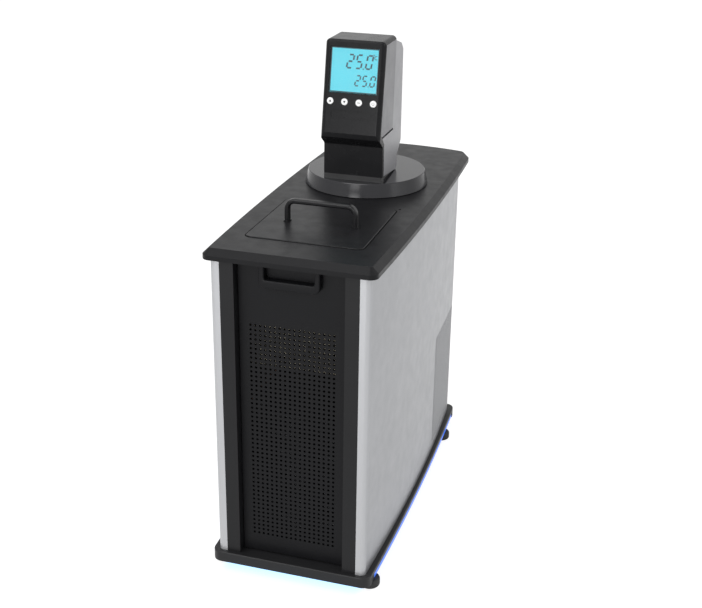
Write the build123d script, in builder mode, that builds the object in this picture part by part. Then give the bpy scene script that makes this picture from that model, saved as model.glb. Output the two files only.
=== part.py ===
from build123d import *
from math import cos, radians, sin, sqrt, tan
import os

os.makedirs("parts", exist_ok=True)

# Refrigerated circulating bath on its own chilled cabinet. Millimetres, +Z up, front towards -Y.
# The origin lies on the ground, under the middle of the top deck.

# Levels, from the ground up
foot_height = 12.0
tray_height = 15.0
cabinet_height = 422.0
deck_lip = 6.0
deck_bevel = 8.0
disc_height = 19.5
tray_bottom = foot_height
tray_top = tray_bottom + tray_height
deck_bottom = tray_top + cabinet_height
deck_height = deck_lip + deck_bevel
deck_top = deck_bottom + deck_height

# Plan of the deck, the tray and the cabinet, whose long sides bow outwards
bow_center = -30.0
deck_half_width = 117.0
deck_bow_radius = 6300.0
deck_front = -281.0
deck_back = 281.0
deck_back_drop = 16.0
deck_front_corner = 11.0
deck_back_corner = 20.0
tray_half_width = 116.0
tray_front = -280.5
tray_back = 245.0
tray_back_drop = 5.0
tray_corner = 13.0
cabinet_half_width = 110.5
cabinet_bow_radius = 4000.0
cabinet_front = -274.0
cabinet_back = 227.0
cabinet_front_corner = 7.0
cabinet_back_corner = 9.0

# Walls and clearances
sheet = 2.5
plastic = 3.0
tray_plate = 4.0
gap = 0.3
running_gap = 0.05

# Front: posts, grille and pull
front_opening = 72.0
post_outer = 90.5
post_lap = 5.5
recess_depth = 12.0
grille_edge = 1.0
hole_columns = 18
hole_rows = 24
hole_pitch_x = 6.5
hole_pitch_z = 13.0
hole_width = 3.2
hole_height = 8.6
holes_bottom = 55.0
pull_width = 79.0
pull_height = 33.0
pull_rim = 7.0
pull_sill = 11.0
pull_corner = 7.0

# Side vent
vent_front = 82.0
vent_back = 214.0
vent_bottom = 42.0
vent_top = 217.0
vent_slot = 4.0
vent_rows = 11
vent_columns = 5
vent_rib = 6.0

# Feet
foot_radius = 14.0
foot_x = 104.0
foot_front_y = -251.0
foot_back_y = 171.0

# Lid, its seat and its bow handle
lid_width = 156.0
lid_length = 164.0
lid_center_y = -140.0
lid_corner = 9.0
lid_seat = 8.0
lid_recess = 3.0
lid_thickness = 4.0
lid_plug_depth = 8.0
handle_y = -148.0
handle_span = 92.0
handle_rise = 31.0
handle_thickness = 6.5
handle_depth = 9.0
handle_corner = 11.0
handle_screw = 2.0
handle_screw_length = 12.0

# Reservoir under the lid and the head
tank_half_width = 70.0
tank_front = -214.0
tank_back = 128.0
tank_depth = 145.0
tank_wall = 1.5
tank_corner = 18.0
tank_flange = 8.0
deck_roof = 5.0
foam_thickness = 22.0
coil_tube = 4.0
coil_turns = 5
coil_pitch = 18.0
drain_x = 50.0
drain_y = 108.0
drain_radius = 6.0
drain_level = 62.0

# Round swivelling base of the head
axis_y = 60.0
disc_bottom_radius = 88.0
disc_top_radius = 83.5
disc_wall = 5.0
disc_shadow_gap = 1.0
spigot_radius = 62.0
ring_width = 4.0

# Control head, measured from the swivel axis: front is negative
head_half_width = 42.0
head_side_inset = 0.8
head_front_low = -68.5
head_lip_front = -86.0
head_face_foot = -86.7
head_face_bottom = 553.0
head_lip_level = 546.0
head_neck_level = 533.0
head_bottom = 490.0
head_top = 675.0
head_face_tilt = 10.0
head_cap_back = -10.0
head_back = 31.0
head_back_low = 12.0
head_step_top = 520.0
head_step_bottom = 503.0
head_shoulder_front = 668.0
head_shoulder_back = 655.0
head_wall = 3.0
side_sheet = 2.5
face_slab = 7.0

# Face: display, keys and the shallow recess below them, along the tilted face
face_origin_level = 555.8
window_width = 68.0
window_height = 60.5
window_center = 81.5
window_depth = 1.2
glass_thickness = 1.5
module_thickness = 4.0
key_count = 4
key_pitch = 20.1
key_line = 39.4
key_radius = 4.5
key_proud = 1.2
key_flange = 5.6
key_flange_thickness = 1.4
key_travel = 0.8
plate_width = 57.0
plate_height = 10.5
plate_line = 22.7

# Pump, heater and probes hung in the bath below the head
pump_offset = -28.0
pump_y = axis_y + pump_offset
motor_radius = 26.0
motor_height = 58.0
shaft_radius = 3.0
column_radius = 10.0
pump_radius = 24.0
pump_height = 22.0
pump_level = 352.0
impeller_radius = 17.0
heater_radius = 30.0
heater_tube = 3.5
heater_turns = 3
heater_pitch = 13.0
heater_level = 384.0

# Refrigeration
compressor_radius = 60.0
compressor_height = 165.0
compressor_y = 30.0
liquid_y = -60.0
line_radius = 3.0
condenser_width = 132.0
condenser_height = 176.0
condenser_depth = 26.0
condenser_front = -252.0
condenser_bottom = 62.0
fan_radius = 56.0
fan_hub_radius = 19.0
fan_blades = 7
fan_depth = 22.0
fan_level = condenser_bottom + condenser_height / 2


def bow(half_width, radius, y):
    """Half the width of a bowed plan at one place along the cabinet."""
    return half_width - radius + sqrt(radius**2 - (y - bow_center) ** 2)


def bowed_plan(half_width, radius, front, back, back_drop, front_corner, back_corner):
    """Closed plan with a straight front, bowed sides, a bowed back and rounded corners."""
    corner_y = back - back_drop
    front_x = bow(half_width, radius, front)
    back_x = bow(half_width, radius, corner_y)
    with BuildSketch() as plan:
        with BuildLine():
            Line((-front_x, front), (front_x, front))
            ThreePointArc((front_x, front), (half_width, bow_center), (back_x, corner_y))
            if back_drop > 0:
                ThreePointArc((back_x, corner_y), (0, back), (-back_x, corner_y))
            else:
                Line((back_x, corner_y), (-back_x, corner_y))
            ThreePointArc((-back_x, corner_y), (-half_width, bow_center), (-front_x, front))
        make_face()
        fillet(plan.vertices().group_by(Axis.Y)[0], front_corner)
        fillet(plan.vertices().group_by(Axis.Y)[-1], back_corner)
    return plan.sketch


deck_plan = bowed_plan(
    deck_half_width, deck_bow_radius, deck_front, deck_back,
    deck_back_drop, deck_front_corner, deck_back_corner,
)
tray_plan = bowed_plan(
    tray_half_width, deck_bow_radius, tray_front, tray_back,
    tray_back_drop, tray_corner, tray_corner,
)
cabinet_plan = bowed_plan(
    cabinet_half_width, cabinet_bow_radius, cabinet_front, cabinet_back,
    0, cabinet_front_corner, cabinet_back_corner,
)


def inset(plan, distance):
    """The same plan, drawn in by a distance."""
    return offset(plan, amount=-distance, mode=Mode.PRIVATE)


def plan_ring(plan, outer, inner, y_low, y_high):
    """Strip between two insets of a plan, kept between two places along the cabinet."""
    with BuildSketch() as ring:
        add(inset(plan, outer))
        add(inset(plan, inner), mode=Mode.SUBTRACT)
        with Locations((0, (y_low + y_high) / 2)):
            Rectangle(2 * deck_half_width + 20, y_high - y_low, mode=Mode.INTERSECT)
    return ring.sketch


# Base tray: a plate with a skirt, cut back at both sides for the light bars
skirt = 5.0
light_height = 8.0
light_width = 5.0
light_set_back = 0.8
light_front = -256.0
light_back = 222.0
light_level = tray_bottom + 1.0
light_top = light_level + light_height
foot_spots = [
    (foot_x, foot_front_y),
    (-foot_x, foot_front_y),
    (foot_x, foot_back_y),
    (-foot_x, foot_back_y),
]
with BuildPart() as base_tray:
    with BuildSketch(Plane.XY.offset(tray_bottom)):
        add(tray_plan)
    extrude(amount=tray_height)
    fillet(base_tray.faces().sort_by(Axis.Z)[-1].outer_wire().edges(), 1.5)
    with BuildSketch(Plane.XY.offset(tray_bottom)):
        add(inset(tray_plan, skirt))
    extrude(amount=tray_height - tray_plate, mode=Mode.SUBTRACT)
    with BuildSketch(Plane.XY.offset(tray_bottom)):
        with Locations(*foot_spots):
            Circle(foot_radius - 1)
        add(inset(tray_plan, skirt), mode=Mode.INTERSECT)
    extrude(amount=tray_height - tray_plate)
    with BuildSketch(Plane.XY.offset(tray_bottom)):
        add(plan_ring(tray_plan, -1, light_set_back + light_width, light_front, light_back))
    extrude(amount=light_top - tray_bottom, mode=Mode.SUBTRACT)
base_tray.part.label = "base_tray"
export_step(base_tray.part, "parts/base_tray.step")

# Light bars: bowed bars below the tray's rim at both sides, and a straight one behind the front skirt
bar_plan = plan_ring(
    tray_plan, light_set_back, light_set_back + light_width - gap, light_front + gap, light_back - gap
)
for side, name in ((-1, "light_bar_left"), (1, "light_bar_right")):
    with BuildPart() as light_bar:
        with BuildSketch(Plane.XY.offset(light_level)):
            add(bar_plan)
            with Locations((side * deck_half_width, 0)):
                Rectangle(deck_half_width, 2 * deck_back, mode=Mode.INTERSECT)
        extrude(amount=light_height)
    light_bar.part.label = name
    export_step(light_bar.part, f"parts/{name}.step")
front_bar_length = 2 * (foot_x - foot_radius) - 4
with BuildPart() as light_bar_front:
    with BuildSketch(Plane.XY.offset(light_level + 1)):
        with Locations((0, tray_front + skirt + light_width / 2)):
            Rectangle(front_bar_length, light_width)
    extrude(amount=tray_top - tray_plate - light_level - 1)
light_bar_front.part.label = "light_bar_front"
export_step(light_bar_front.part, "parts/light_bar_front.step")

# Feet: squat rounded discs that stand a little proud of the tray's corners
foot_names = ["foot_front_right", "foot_front_left", "foot_back_right", "foot_back_left"]
for (foot_place_x, foot_place_y), name in zip(foot_spots, foot_names):
    with BuildPart() as foot:
        with BuildSketch(Plane.XY):
            with Locations((foot_place_x, foot_place_y)):
                Circle(foot_radius)
        extrude(amount=foot_height)
        fillet(foot.edges().filter_by(GeomType.CIRCLE), 3)
    foot.part.label = name
    export_step(foot.part, f"parts/{name}.step")

# Side panels: bent sheet with a bowed side and a flange round the front and the back corner
flange_back = 90.0
vent_pitch_z = (vent_top - vent_bottom) / vent_rows
vent_pitch_y = (vent_back - vent_front) / vent_columns
for side, name in ((-1, "side_panel_left"), (1, "side_panel_right")):
    with BuildPart() as side_panel:
        with BuildSketch(Plane.XY.offset(tray_top)):
            add(cabinet_plan)
            add(inset(cabinet_plan, sheet), mode=Mode.SUBTRACT)
            Rectangle(2 * post_outer, 4 * deck_back, mode=Mode.SUBTRACT)
            with Locations((side * 2 * post_outer, 0)):
                Rectangle(4 * post_outer, 4 * deck_back, mode=Mode.INTERSECT)
        extrude(amount=cabinet_height)
        with BuildSketch(Plane.YZ.offset(side * (post_outer + 6))):
            with Locations(((vent_front + vent_back) / 2, (vent_bottom + vent_top) / 2)):
                with GridLocations(vent_pitch_y, vent_pitch_z, vent_columns, vent_rows):
                    Rectangle(vent_pitch_y - vent_rib, vent_slot)
        extrude(amount=side * 30, mode=Mode.SUBTRACT)
    side_panel.part.label = name
    export_step(side_panel.part, f"parts/{name}.step")

# Front posts: black channels between the silver corners and the recessed grille
post_wall = 3.0
post_front = cabinet_front
grille_front = cabinet_front + recess_depth
grille_thickness = 2.5
grille_back = grille_front + grille_thickness
ledge = 7.0
for side, name in ((-1, "front_post_left"), (1, "front_post_right")):
    with BuildPart() as post:
        with BuildSketch(Plane.XY.offset(tray_top)):
            with BuildLine():
                Polyline(
                    (side * post_outer, post_front),
                    (side * front_opening, post_front),
                    (side * front_opening, grille_back),
                    (side * (front_opening - ledge), grille_back),
                    (side * (front_opening - ledge), grille_back + post_wall),
                    (side * (front_opening + post_wall), grille_back + post_wall),
                    (side * (front_opening + post_wall), post_front + post_wall),
                    (side * (post_outer + post_lap), post_front + post_wall + sheet),
                    (side * (post_outer + post_lap), post_front + sheet),
                    (side * post_outer, post_front + sheet),
                    close=True,
                )
            make_face()
        extrude(amount=cabinet_height)
    post.part.label = name
    export_step(post.part, f"parts/{name}.step")

# Front grille: a lift-out panel of upright and level bars, with a U-shaped pull moulded on it
grille_width = 2 * (front_opening - grille_edge)
grille_bottom = tray_top + 1.0
grille_top = deck_bottom - 1.0
pull_bottom = deck_bottom - 20.0 - pull_sill
pull_proud = recess_depth - 1.0
bar_setback = 0.3
field_low = holes_bottom - hole_height / 2
field_high = holes_bottom + hole_pitch_z * (hole_rows - 1) + hole_height / 2
with BuildPart() as front_grille:
    with BuildSketch(Plane.XZ.offset(-grille_back)):
        with Locations((0, (grille_bottom + grille_top) / 2)):
            Rectangle(grille_width, grille_top - grille_bottom)
        with Locations((0, (field_low + field_high) / 2)):
            with GridLocations(hole_pitch_x, 1, hole_columns, 1):
                Rectangle(hole_width, field_high - field_low, mode=Mode.SUBTRACT)
    extrude(amount=grille_thickness)
    with BuildSketch(Plane.XZ.offset(bar_setback - grille_back)):
        with Locations((0, (field_low + field_high) / 2)):
            with GridLocations(1, hole_pitch_z, 1, hole_rows - 1):
                Rectangle(hole_pitch_x * (hole_columns - 1) + hole_width + 1, hole_pitch_z - hole_height)
    extrude(amount=grille_thickness - 2 * bar_setback)
    with BuildSketch(Plane.XZ.offset(-grille_front)) as pull:
        with Locations((0, pull_bottom)):
            Rectangle(pull_width, grille_top - pull_bottom, align=(Align.CENTER, Align.MIN))
        fillet(pull.vertices().group_by(Axis.Y)[0], pull_corner)
        with Locations((0, pull_bottom + pull_sill)):
            Rectangle(
                pull_width - 2 * pull_rim, grille_top - pull_bottom,
                align=(Align.CENTER, Align.MIN), mode=Mode.SUBTRACT,
            )
    extrude(amount=pull_proud)
front_grille.part.label = "front_grille"
export_step(front_grille.part, "parts/front_grille.step")

# Rear panel: flat sheet behind the rear flanges, with air slots and openings for the power fittings
rear_inset = 17.0
rear_slot_rows = 9
rear_slot_pitch = 11.0
rear_slot_length = 60.0
rear_slot_level = 190.0
inlet_x = -52.0
inlet_level = 78.0
inlet_width = 27.0
inlet_height = 20.0
rocker_level = 120.0
rocker_width = 21.0
rocker_height = 15.0
rear_panel_width = 2 * (cabinet_half_width - rear_inset)
rear_panel_back = cabinet_back - sheet
with BuildPart() as rear_panel:
    with BuildSketch(Plane.XZ.offset(-rear_panel_back)):
        with Locations((0, tray_top + cabinet_height / 2)):
            Rectangle(rear_panel_width, cabinet_height)
        with Locations((0, rear_slot_level)):
            with GridLocations(rear_slot_length + 14, rear_slot_pitch, 2, rear_slot_rows):
                SlotOverall(rear_slot_length, 5, mode=Mode.SUBTRACT)
        with Locations((inlet_x, inlet_level)):
            Rectangle(inlet_width, inlet_height, mode=Mode.SUBTRACT)
        with Locations((inlet_x, rocker_level)):
            Rectangle(rocker_width, rocker_height, mode=Mode.SUBTRACT)
        with Locations((drain_x, drain_level)):
            Circle(drain_radius + gap, mode=Mode.SUBTRACT)
    extrude(amount=sheet)
rear_panel.part.label = "rear_panel"
export_step(rear_panel.part, "parts/rear_panel.step")

# Deck: bevelled moulding, hollow below, open over the reservoir and under the head
lid_front = lid_center_y - lid_length / 2
lid_back = lid_center_y + lid_length / 2
deck_pocket = deck_height - deck_roof
overhang_front = cabinet_back + 8.0
overhang_back = deck_back - 24.0
notch_x = 80.0
notch_y = lid_back + 4.0
notch_radius = 1.8
with BuildPart() as deck:
    with BuildSketch(Plane.XY.offset(deck_bottom)):
        add(deck_plan)
    extrude(amount=deck_height)
    chamfer(deck.faces().sort_by(Axis.Z)[-1].outer_wire().edges(), deck_bevel)
    with BuildSketch(Plane.XY.offset(deck_bottom)):
        add(inset(cabinet_plan, 12))
        with Locations((0, (overhang_front + overhang_back) / 2)):
            Rectangle(2 * tank_half_width + 20, overhang_back - overhang_front)
    extrude(amount=deck_pocket, mode=Mode.SUBTRACT)
    with BuildSketch(Plane.XY.offset(deck_top)):
        with Locations((0, lid_center_y)):
            RectangleRounded(lid_width, lid_length, lid_corner)
    extrude(amount=-lid_recess, mode=Mode.SUBTRACT)
    with BuildSketch(Plane.XY.offset(deck_top)):
        with Locations((0, lid_center_y)):
            RectangleRounded(lid_width - 2 * lid_seat, lid_length - 2 * lid_seat, lid_corner)
        with Locations((0, axis_y)):
            Circle(spigot_radius + ring_width)
    extrude(amount=-deck_height, mode=Mode.SUBTRACT)
    with BuildSketch(Plane.XY.offset(deck_top)):
        with Locations((notch_x, notch_y)):
            Circle(notch_radius)
    extrude(amount=-3, mode=Mode.SUBTRACT)
deck.part.label = "deck"
export_step(deck.part, "parts/deck.step")

# Lid: a plate in the deck's seat with a hollow plug below it
lid_bottom = deck_top - lid_recess
lid_top = lid_bottom + lid_thickness
plug_wall = 2.5
plug_width = lid_width - 2 * lid_seat - 2 * gap
plug_length = lid_length - 2 * lid_seat - 2 * gap
with BuildPart() as lid:
    with BuildSketch(Plane.XY.offset(lid_bottom)):
        with Locations((0, lid_center_y)):
            RectangleRounded(lid_width - 2 * gap, lid_length - 2 * gap, lid_corner - gap)
    extrude(amount=lid_thickness)
    fillet(lid.faces().sort_by(Axis.Z)[-1].outer_wire().edges(), 1)
    with BuildSketch(Plane.XY.offset(lid_bottom)):
        with Locations((0, lid_center_y)):
            RectangleRounded(plug_width, plug_length, tank_corner)
            RectangleRounded(
                plug_width - 2 * plug_wall, plug_length - 2 * plug_wall, tank_corner - plug_wall,
                mode=Mode.SUBTRACT,
            )
    extrude(amount=-lid_plug_depth)
    with Locations((-handle_span / 2, handle_y, lid_top), (handle_span / 2, handle_y, lid_top)):
        Hole(handle_screw + running_gap)
lid.part.label = "lid"
export_step(lid.part, "parts/lid.step")

# Bow handle: one rounded bar bent up, across and down, on two small feet
handle_axis_height = handle_rise - handle_thickness / 2
with BuildPart() as lid_handle:
    with BuildLine(Plane.XZ.offset(-handle_y)) as handle_line:
        FilletPolyline(
            (-handle_span / 2, lid_top),
            (-handle_span / 2, lid_top + handle_axis_height),
            (handle_span / 2, lid_top + handle_axis_height),
            (handle_span / 2, lid_top),
            radius=handle_corner,
        )
    with BuildSketch(Plane(origin=(-handle_span / 2, handle_y, lid_top), z_dir=(0, 0, 1))):
        RectangleRounded(handle_thickness, handle_depth, handle_thickness * 0.35)
    sweep(path=handle_line.line)
    with BuildSketch(Plane.XY.offset(lid_top)):
        with Locations((-handle_span / 2, handle_y), (handle_span / 2, handle_y)):
            RectangleRounded(handle_thickness + 2.5, handle_depth + 2.5, handle_thickness * 0.5)
    extrude(amount=1.5)
    with BuildSketch(Plane.XY.offset(lid_top)):
        with Locations((-handle_span / 2, handle_y), (handle_span / 2, handle_y)):
            Circle(handle_screw + running_gap)
    extrude(amount=handle_screw_length - lid_thickness + 1, mode=Mode.SUBTRACT)
lid_handle.part.label = "lid_handle"
export_step(lid_handle.part, "parts/lid_handle.step")

# Handle screws, pushed up through the lid
screw_head_radius = 3.6
screw_head_height = 2.2
with BuildPart() as handle_screws:
    with Locations((-handle_span / 2, handle_y, lid_bottom), (handle_span / 2, handle_y, lid_bottom)):
        Cylinder(handle_screw, handle_screw_length, align=(Align.CENTER, Align.CENTER, Align.MIN))
        Cylinder(
            screw_head_radius, screw_head_height, align=(Align.CENTER, Align.CENTER, Align.MAX),
        )
handle_screws.part.label = "handle_screws"
export_step(handle_screws.part, "parts/handle_screws.step")

# Reservoir: deep-drawn tank hung by its flange from the deck's roof
flange_top = deck_bottom + deck_pocket
tank_bottom = flange_top - tank_depth
tank_center_y = (tank_front + tank_back) / 2
tank_width = 2 * tank_half_width
tank_length = tank_back - tank_front
floor_fillet = 8.0
with BuildPart() as tank_cavity:
    with BuildSketch(Plane.XY.offset(tank_bottom + tank_wall)):
        with Locations((0, tank_center_y)):
            RectangleRounded(tank_width, tank_length, tank_corner)
    extrude(amount=tank_depth)
    fillet(tank_cavity.faces().sort_by(Axis.Z)[0].edges(), floor_fillet - tank_wall)
with BuildPart() as reservoir:
    with BuildSketch(Plane.XY.offset(tank_bottom)):
        with Locations((0, tank_center_y)):
            RectangleRounded(tank_width + 2 * tank_wall, tank_length + 2 * tank_wall, tank_corner + tank_wall)
    extrude(amount=tank_depth)
    fillet(reservoir.faces().sort_by(Axis.Z)[0].edges(), floor_fillet)
    with BuildSketch(Plane.XY.offset(flange_top - tank_wall)):
        with Locations((0, tank_center_y)):
            RectangleRounded(
                tank_width + 2 * tank_flange, tank_length + 2 * tank_flange, tank_corner + tank_flange,
            )
    extrude(amount=tank_wall)
    add(tank_cavity.part, mode=Mode.SUBTRACT)
    with Locations((drain_x, drain_y, tank_bottom)):
        Hole(drain_radius - 1.5)
reservoir.part.label = "reservoir"
export_step(reservoir.part, "parts/reservoir.step")

# Evaporator: rounded rings of tube round the tank, joined by one upright header
coil_clear = tank_wall + gap
coil_outer = coil_clear + 2 * coil_tube
coil_bottom = tank_bottom + 24.0
header_x = tank_half_width + coil_clear + coil_tube
header_y = 0.0
with BuildPart() as evaporator_coil:
    for turn in range(coil_turns):
        with BuildSketch(Plane.XY.offset(coil_bottom + turn * coil_pitch - coil_tube)):
            with Locations((0, tank_center_y)):
                RectangleRounded(
                    tank_width + 2 * coil_outer, tank_length + 2 * coil_outer, tank_corner + coil_outer,
                )
                RectangleRounded(
                    tank_width + 2 * coil_clear, tank_length + 2 * coil_clear, tank_corner + coil_clear,
                    mode=Mode.SUBTRACT,
                )
        extrude(amount=2 * coil_tube)
    fillet(evaporator_coil.edges().filter_by(Plane.XY), 0.8 * coil_tube)
    with Locations((header_x, header_y, coil_bottom)):
        Cylinder(
            0.7 * coil_tube, coil_pitch * (coil_turns - 1),
            align=(Align.CENTER, Align.CENTER, Align.MIN),
        )
evaporator_coil.part.label = "evaporator_coil"
export_step(evaporator_coil.part, "parts/evaporator_coil.step")

# Foam: an open box round the tank and its coil
foam_gap = coil_outer + gap
foam_bottom = tank_bottom - foam_thickness
foam_side = 8.0
foam_width = tank_width + 2 * foam_gap + 2 * foam_side
foam_top = flange_top - tank_wall
with BuildPart() as foam:
    with BuildSketch(Plane.XY.offset(foam_bottom)):
        with Locations((0, tank_center_y)):
            RectangleRounded(foam_width, tank_length + 2 * foam_gap + 2 * foam_side, tank_corner)
    extrude(amount=foam_top - foam_bottom)
    with BuildSketch(Plane.XY.offset(tank_bottom)):
        with Locations((0, tank_center_y)):
            RectangleRounded(tank_width + 2 * foam_gap, tank_length + 2 * foam_gap, tank_corner)
    extrude(amount=foam_top - tank_bottom, mode=Mode.SUBTRACT)
    with Locations((drain_x, drain_y, foam_bottom)):
        Hole(drain_radius + gap)
    with Locations((header_x, compressor_y, foam_bottom), (header_x, liquid_y, foam_bottom)):
        Hole(line_radius + gap)
foam.part.label = "foam"
export_step(foam.part, "parts/foam.step")

# Drain: a bent pipe from the tank's floor to a nipple at the rear panel
nipple_length = 14.0
with BuildPart() as drain_pipe:
    with BuildLine(Plane.YZ.offset(drain_x)) as drain_line:
        FilletPolyline(
            (drain_y, tank_bottom),
            (drain_y, drain_level),
            (cabinet_back + nipple_length, drain_level),
            radius=20,
        )
    with BuildSketch(Plane(origin=(drain_x, drain_y, tank_bottom), z_dir=(0, 0, -1))):
        Circle(drain_radius)
        Circle(drain_radius - 1.5, mode=Mode.SUBTRACT)
    sweep(path=drain_line.line)
    with BuildSketch(Plane.XZ.offset(-(cabinet_back + 1))):
        with Locations((drain_x, drain_level)):
            RegularPolygon(drain_radius + 4, 6)
            Circle(drain_radius - 1, mode=Mode.SUBTRACT)
    extrude(amount=-5)
drain_pipe.part.label = "drain_pipe"
export_step(drain_pipe.part, "parts/drain_pipe.step")

# Swivel ring: a flanged bearing in the deck's round opening
ring_inner = spigot_radius + running_gap
ring_outer = spigot_radius + ring_width
ring_top = deck_top + disc_shadow_gap
ring_flange = 6.0
with BuildPart() as swivel_ring:
    with BuildSketch(Plane.XY.offset(flange_top)):
        with Locations((0, axis_y)):
            Circle(ring_outer)
            Circle(ring_inner, mode=Mode.SUBTRACT)
    extrude(amount=ring_top - flange_top)
    with BuildSketch(Plane.XY.offset(deck_top)):
        with Locations((0, axis_y)):
            Circle(ring_outer + ring_flange)
            Circle(ring_inner, mode=Mode.SUBTRACT)
    extrude(amount=disc_shadow_gap)
swivel_ring.part.label = "swivel_ring"
export_step(swivel_ring.part, "parts/swivel_ring.step")

# Disc: tapered round base of the head, with a land on the ring and a spigot that closes the reservoir
disc_top = deck_top + disc_height
disc_rim = 0.8
spigot_bottom = deck_bottom + 1.0
spigot_floor = 4.0
spigot_wall = 4.0
land_radius = spigot_radius + 8.0
disc_roof = disc_top - disc_wall
cable_hole = 9.0
shaft_spot = (0, pump_y)
with BuildPart() as disc:
    with BuildSketch(Plane.XZ.offset(-axis_y)):
        with BuildLine():
            Polyline(
                (0, disc_top),
                (disc_top_radius - disc_rim, disc_top),
                (disc_top_radius, disc_top - disc_rim),
                (disc_bottom_radius, ring_top),
                (disc_bottom_radius - disc_wall, ring_top),
                (disc_top_radius - disc_wall, disc_roof),
                (land_radius, disc_roof),
                (land_radius, ring_top),
                (spigot_radius, ring_top),
                (spigot_radius, spigot_bottom),
                (0, spigot_bottom),
                (0, spigot_bottom + spigot_floor),
                (spigot_radius - spigot_wall, spigot_bottom + spigot_floor),
                (spigot_radius - spigot_wall, disc_roof),
                (0, disc_roof),
                close=True,
            )
        make_face()
    revolve(axis=Axis((0, axis_y, 0), (0, 0, 1)))
    with BuildSketch(Plane.XY.offset(disc_top)):
        with Locations(shaft_spot):
            Circle(shaft_radius + 1)
        with Locations((0, axis_y - 4)):
            Circle(cable_hole / 2)
    extrude(amount=-(disc_top - spigot_bottom), mode=Mode.SUBTRACT)
disc.part.label = "disc"
export_step(disc.part, "parts/disc.step")

# Side outline of the head, in (y, z), from the front's foot over the top to the back
face_tilt = tan(radians(head_face_tilt))
face_top = head_face_foot + face_tilt * (head_top - head_face_bottom)
slab_run = face_slab / cos(radians(head_face_tilt))
cap_thickness = 5.0
inner_top = head_top - cap_thickness
front_inner_top = head_face_foot + face_tilt * (inner_top - head_face_bottom) + slab_run
low_inner = head_front_low + face_slab
split_top = -8.0
split_low = -16.0
split_level = head_lip_level + 2.0
groove_height = 3.0
groove_back = -12.0
shoulder_run = 10.0


def side_point(y_from_axis, z):
    """A point of the head's side outline on the ground plane's axes."""
    return (axis_y + y_from_axis, z)


def chin_point(z):
    """A point on the front housing's inner face, where it slopes in below the tilted face."""
    start = head_face_foot + slab_run
    share = (head_face_bottom - z) / (head_face_bottom - head_neck_level - 3)
    return side_point(start + share * (low_inner - start), z)


# Base collar: dark foot of the head on the disc, full width at the front only
collar_side = head_half_width - head_side_inset - side_sheet
with BuildPart() as head_collar:
    with BuildSketch(Plane.XY.offset(disc_top)):
        with Locations((0, axis_y + (head_front_low + low_inner) / 2)):
            Rectangle(2 * head_half_width, face_slab)
        with Locations((0, axis_y + (low_inner + head_back_low) / 2)):
            Rectangle(2 * collar_side, head_back_low - low_inner)
        with Locations(shaft_spot):
            Circle(shaft_radius + 1, mode=Mode.SUBTRACT)
        with Locations((0, axis_y - 4)):
            Circle(cable_hole / 2, mode=Mode.SUBTRACT)
    extrude(amount=head_bottom - disc_top)
head_collar.part.label = "head_collar"
export_step(head_collar.part, "parts/head_collar.step")

# Tilted face: its own plane, with x across and y up the slope
face_plane = Plane(
    origin=(0, axis_y + head_face_foot + face_tilt * (face_origin_level - head_face_bottom), face_origin_level),
    x_dir=(1, 0, 0),
    z_dir=(0, -cos(radians(head_face_tilt)), sin(radians(head_face_tilt))),
)
key_places = [((index - (key_count - 1) / 2) * key_pitch, key_line) for index in range(key_count)]
board_level = face_slab + 4.5
board_thickness = 1.6
board_width = 72.0
board_height = 108.0
board_center = 56.0
post_places = [(side * (board_width / 2 - 4), board_center - board_height / 2 + 4) for side in (-1, 1)]

# Front housing: black face, stepped neck, lower front and top cap in one moulding
with BuildPart() as head_front:
    with BuildSketch(Plane.YZ) as front_profile:
        with BuildLine():
            Polyline(
                side_point(head_front_low, head_bottom),
                side_point(head_front_low, head_neck_level),
                side_point(head_lip_front, head_lip_level),
                side_point(head_face_foot, head_face_bottom),
                side_point(face_top, head_top),
                side_point(head_cap_back, head_top),
                side_point(head_cap_back, inner_top),
                side_point(front_inner_top, inner_top),
                side_point(head_face_foot + slab_run, head_face_bottom),
                side_point(low_inner, head_neck_level + 3),
                side_point(low_inner, head_bottom),
                close=True,
            )
        make_face()
        fillet(front_profile.vertices().filter_by_position(Axis.Y, head_top - 1, head_top + 1).sort_by(Axis.X)[0], 4)
        fillet(front_profile.vertices().filter_by_position(Axis.Y, head_lip_level - 1, head_lip_level + 1), 2)
        fillet(
            front_profile.vertices().filter_by_position(Axis.Y, head_neck_level - 1, head_neck_level + 1), 2
        )
    extrude(amount=head_half_width, both=True)
    cap_edges = head_front.edges().filter_by(Axis.Y).filter_by_position(Axis.Z, head_top - 1, head_top + 1)
    fillet(cap_edges, 6.5)
    with BuildSketch(face_plane):
        with Locations((0, window_center)):
            Rectangle(window_width + 2 * gap, window_height + 2 * gap)
    extrude(amount=-(window_depth + glass_thickness), mode=Mode.SUBTRACT)
    with BuildSketch(face_plane):
        with Locations((0, window_center)):
            Rectangle(window_width - 2, window_height - 2)
        with Locations(*key_places):
            Circle(key_radius + running_gap)
    extrude(amount=-face_slab - 1, mode=Mode.SUBTRACT)
    with BuildSketch(face_plane):
        with Locations((0, plate_line)):
            RectangleRounded(plate_width, plate_height, 3.5)
    extrude(amount=-1.0, mode=Mode.SUBTRACT)
    with BuildSketch(face_plane.offset(-face_slab)):
        with Locations(*post_places):
            Circle(2.5)
    extrude(amount=-(board_level - face_slab))
head_front.part.label = "head_front"
export_step(head_front.part, "parts/head_front.step")

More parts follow.
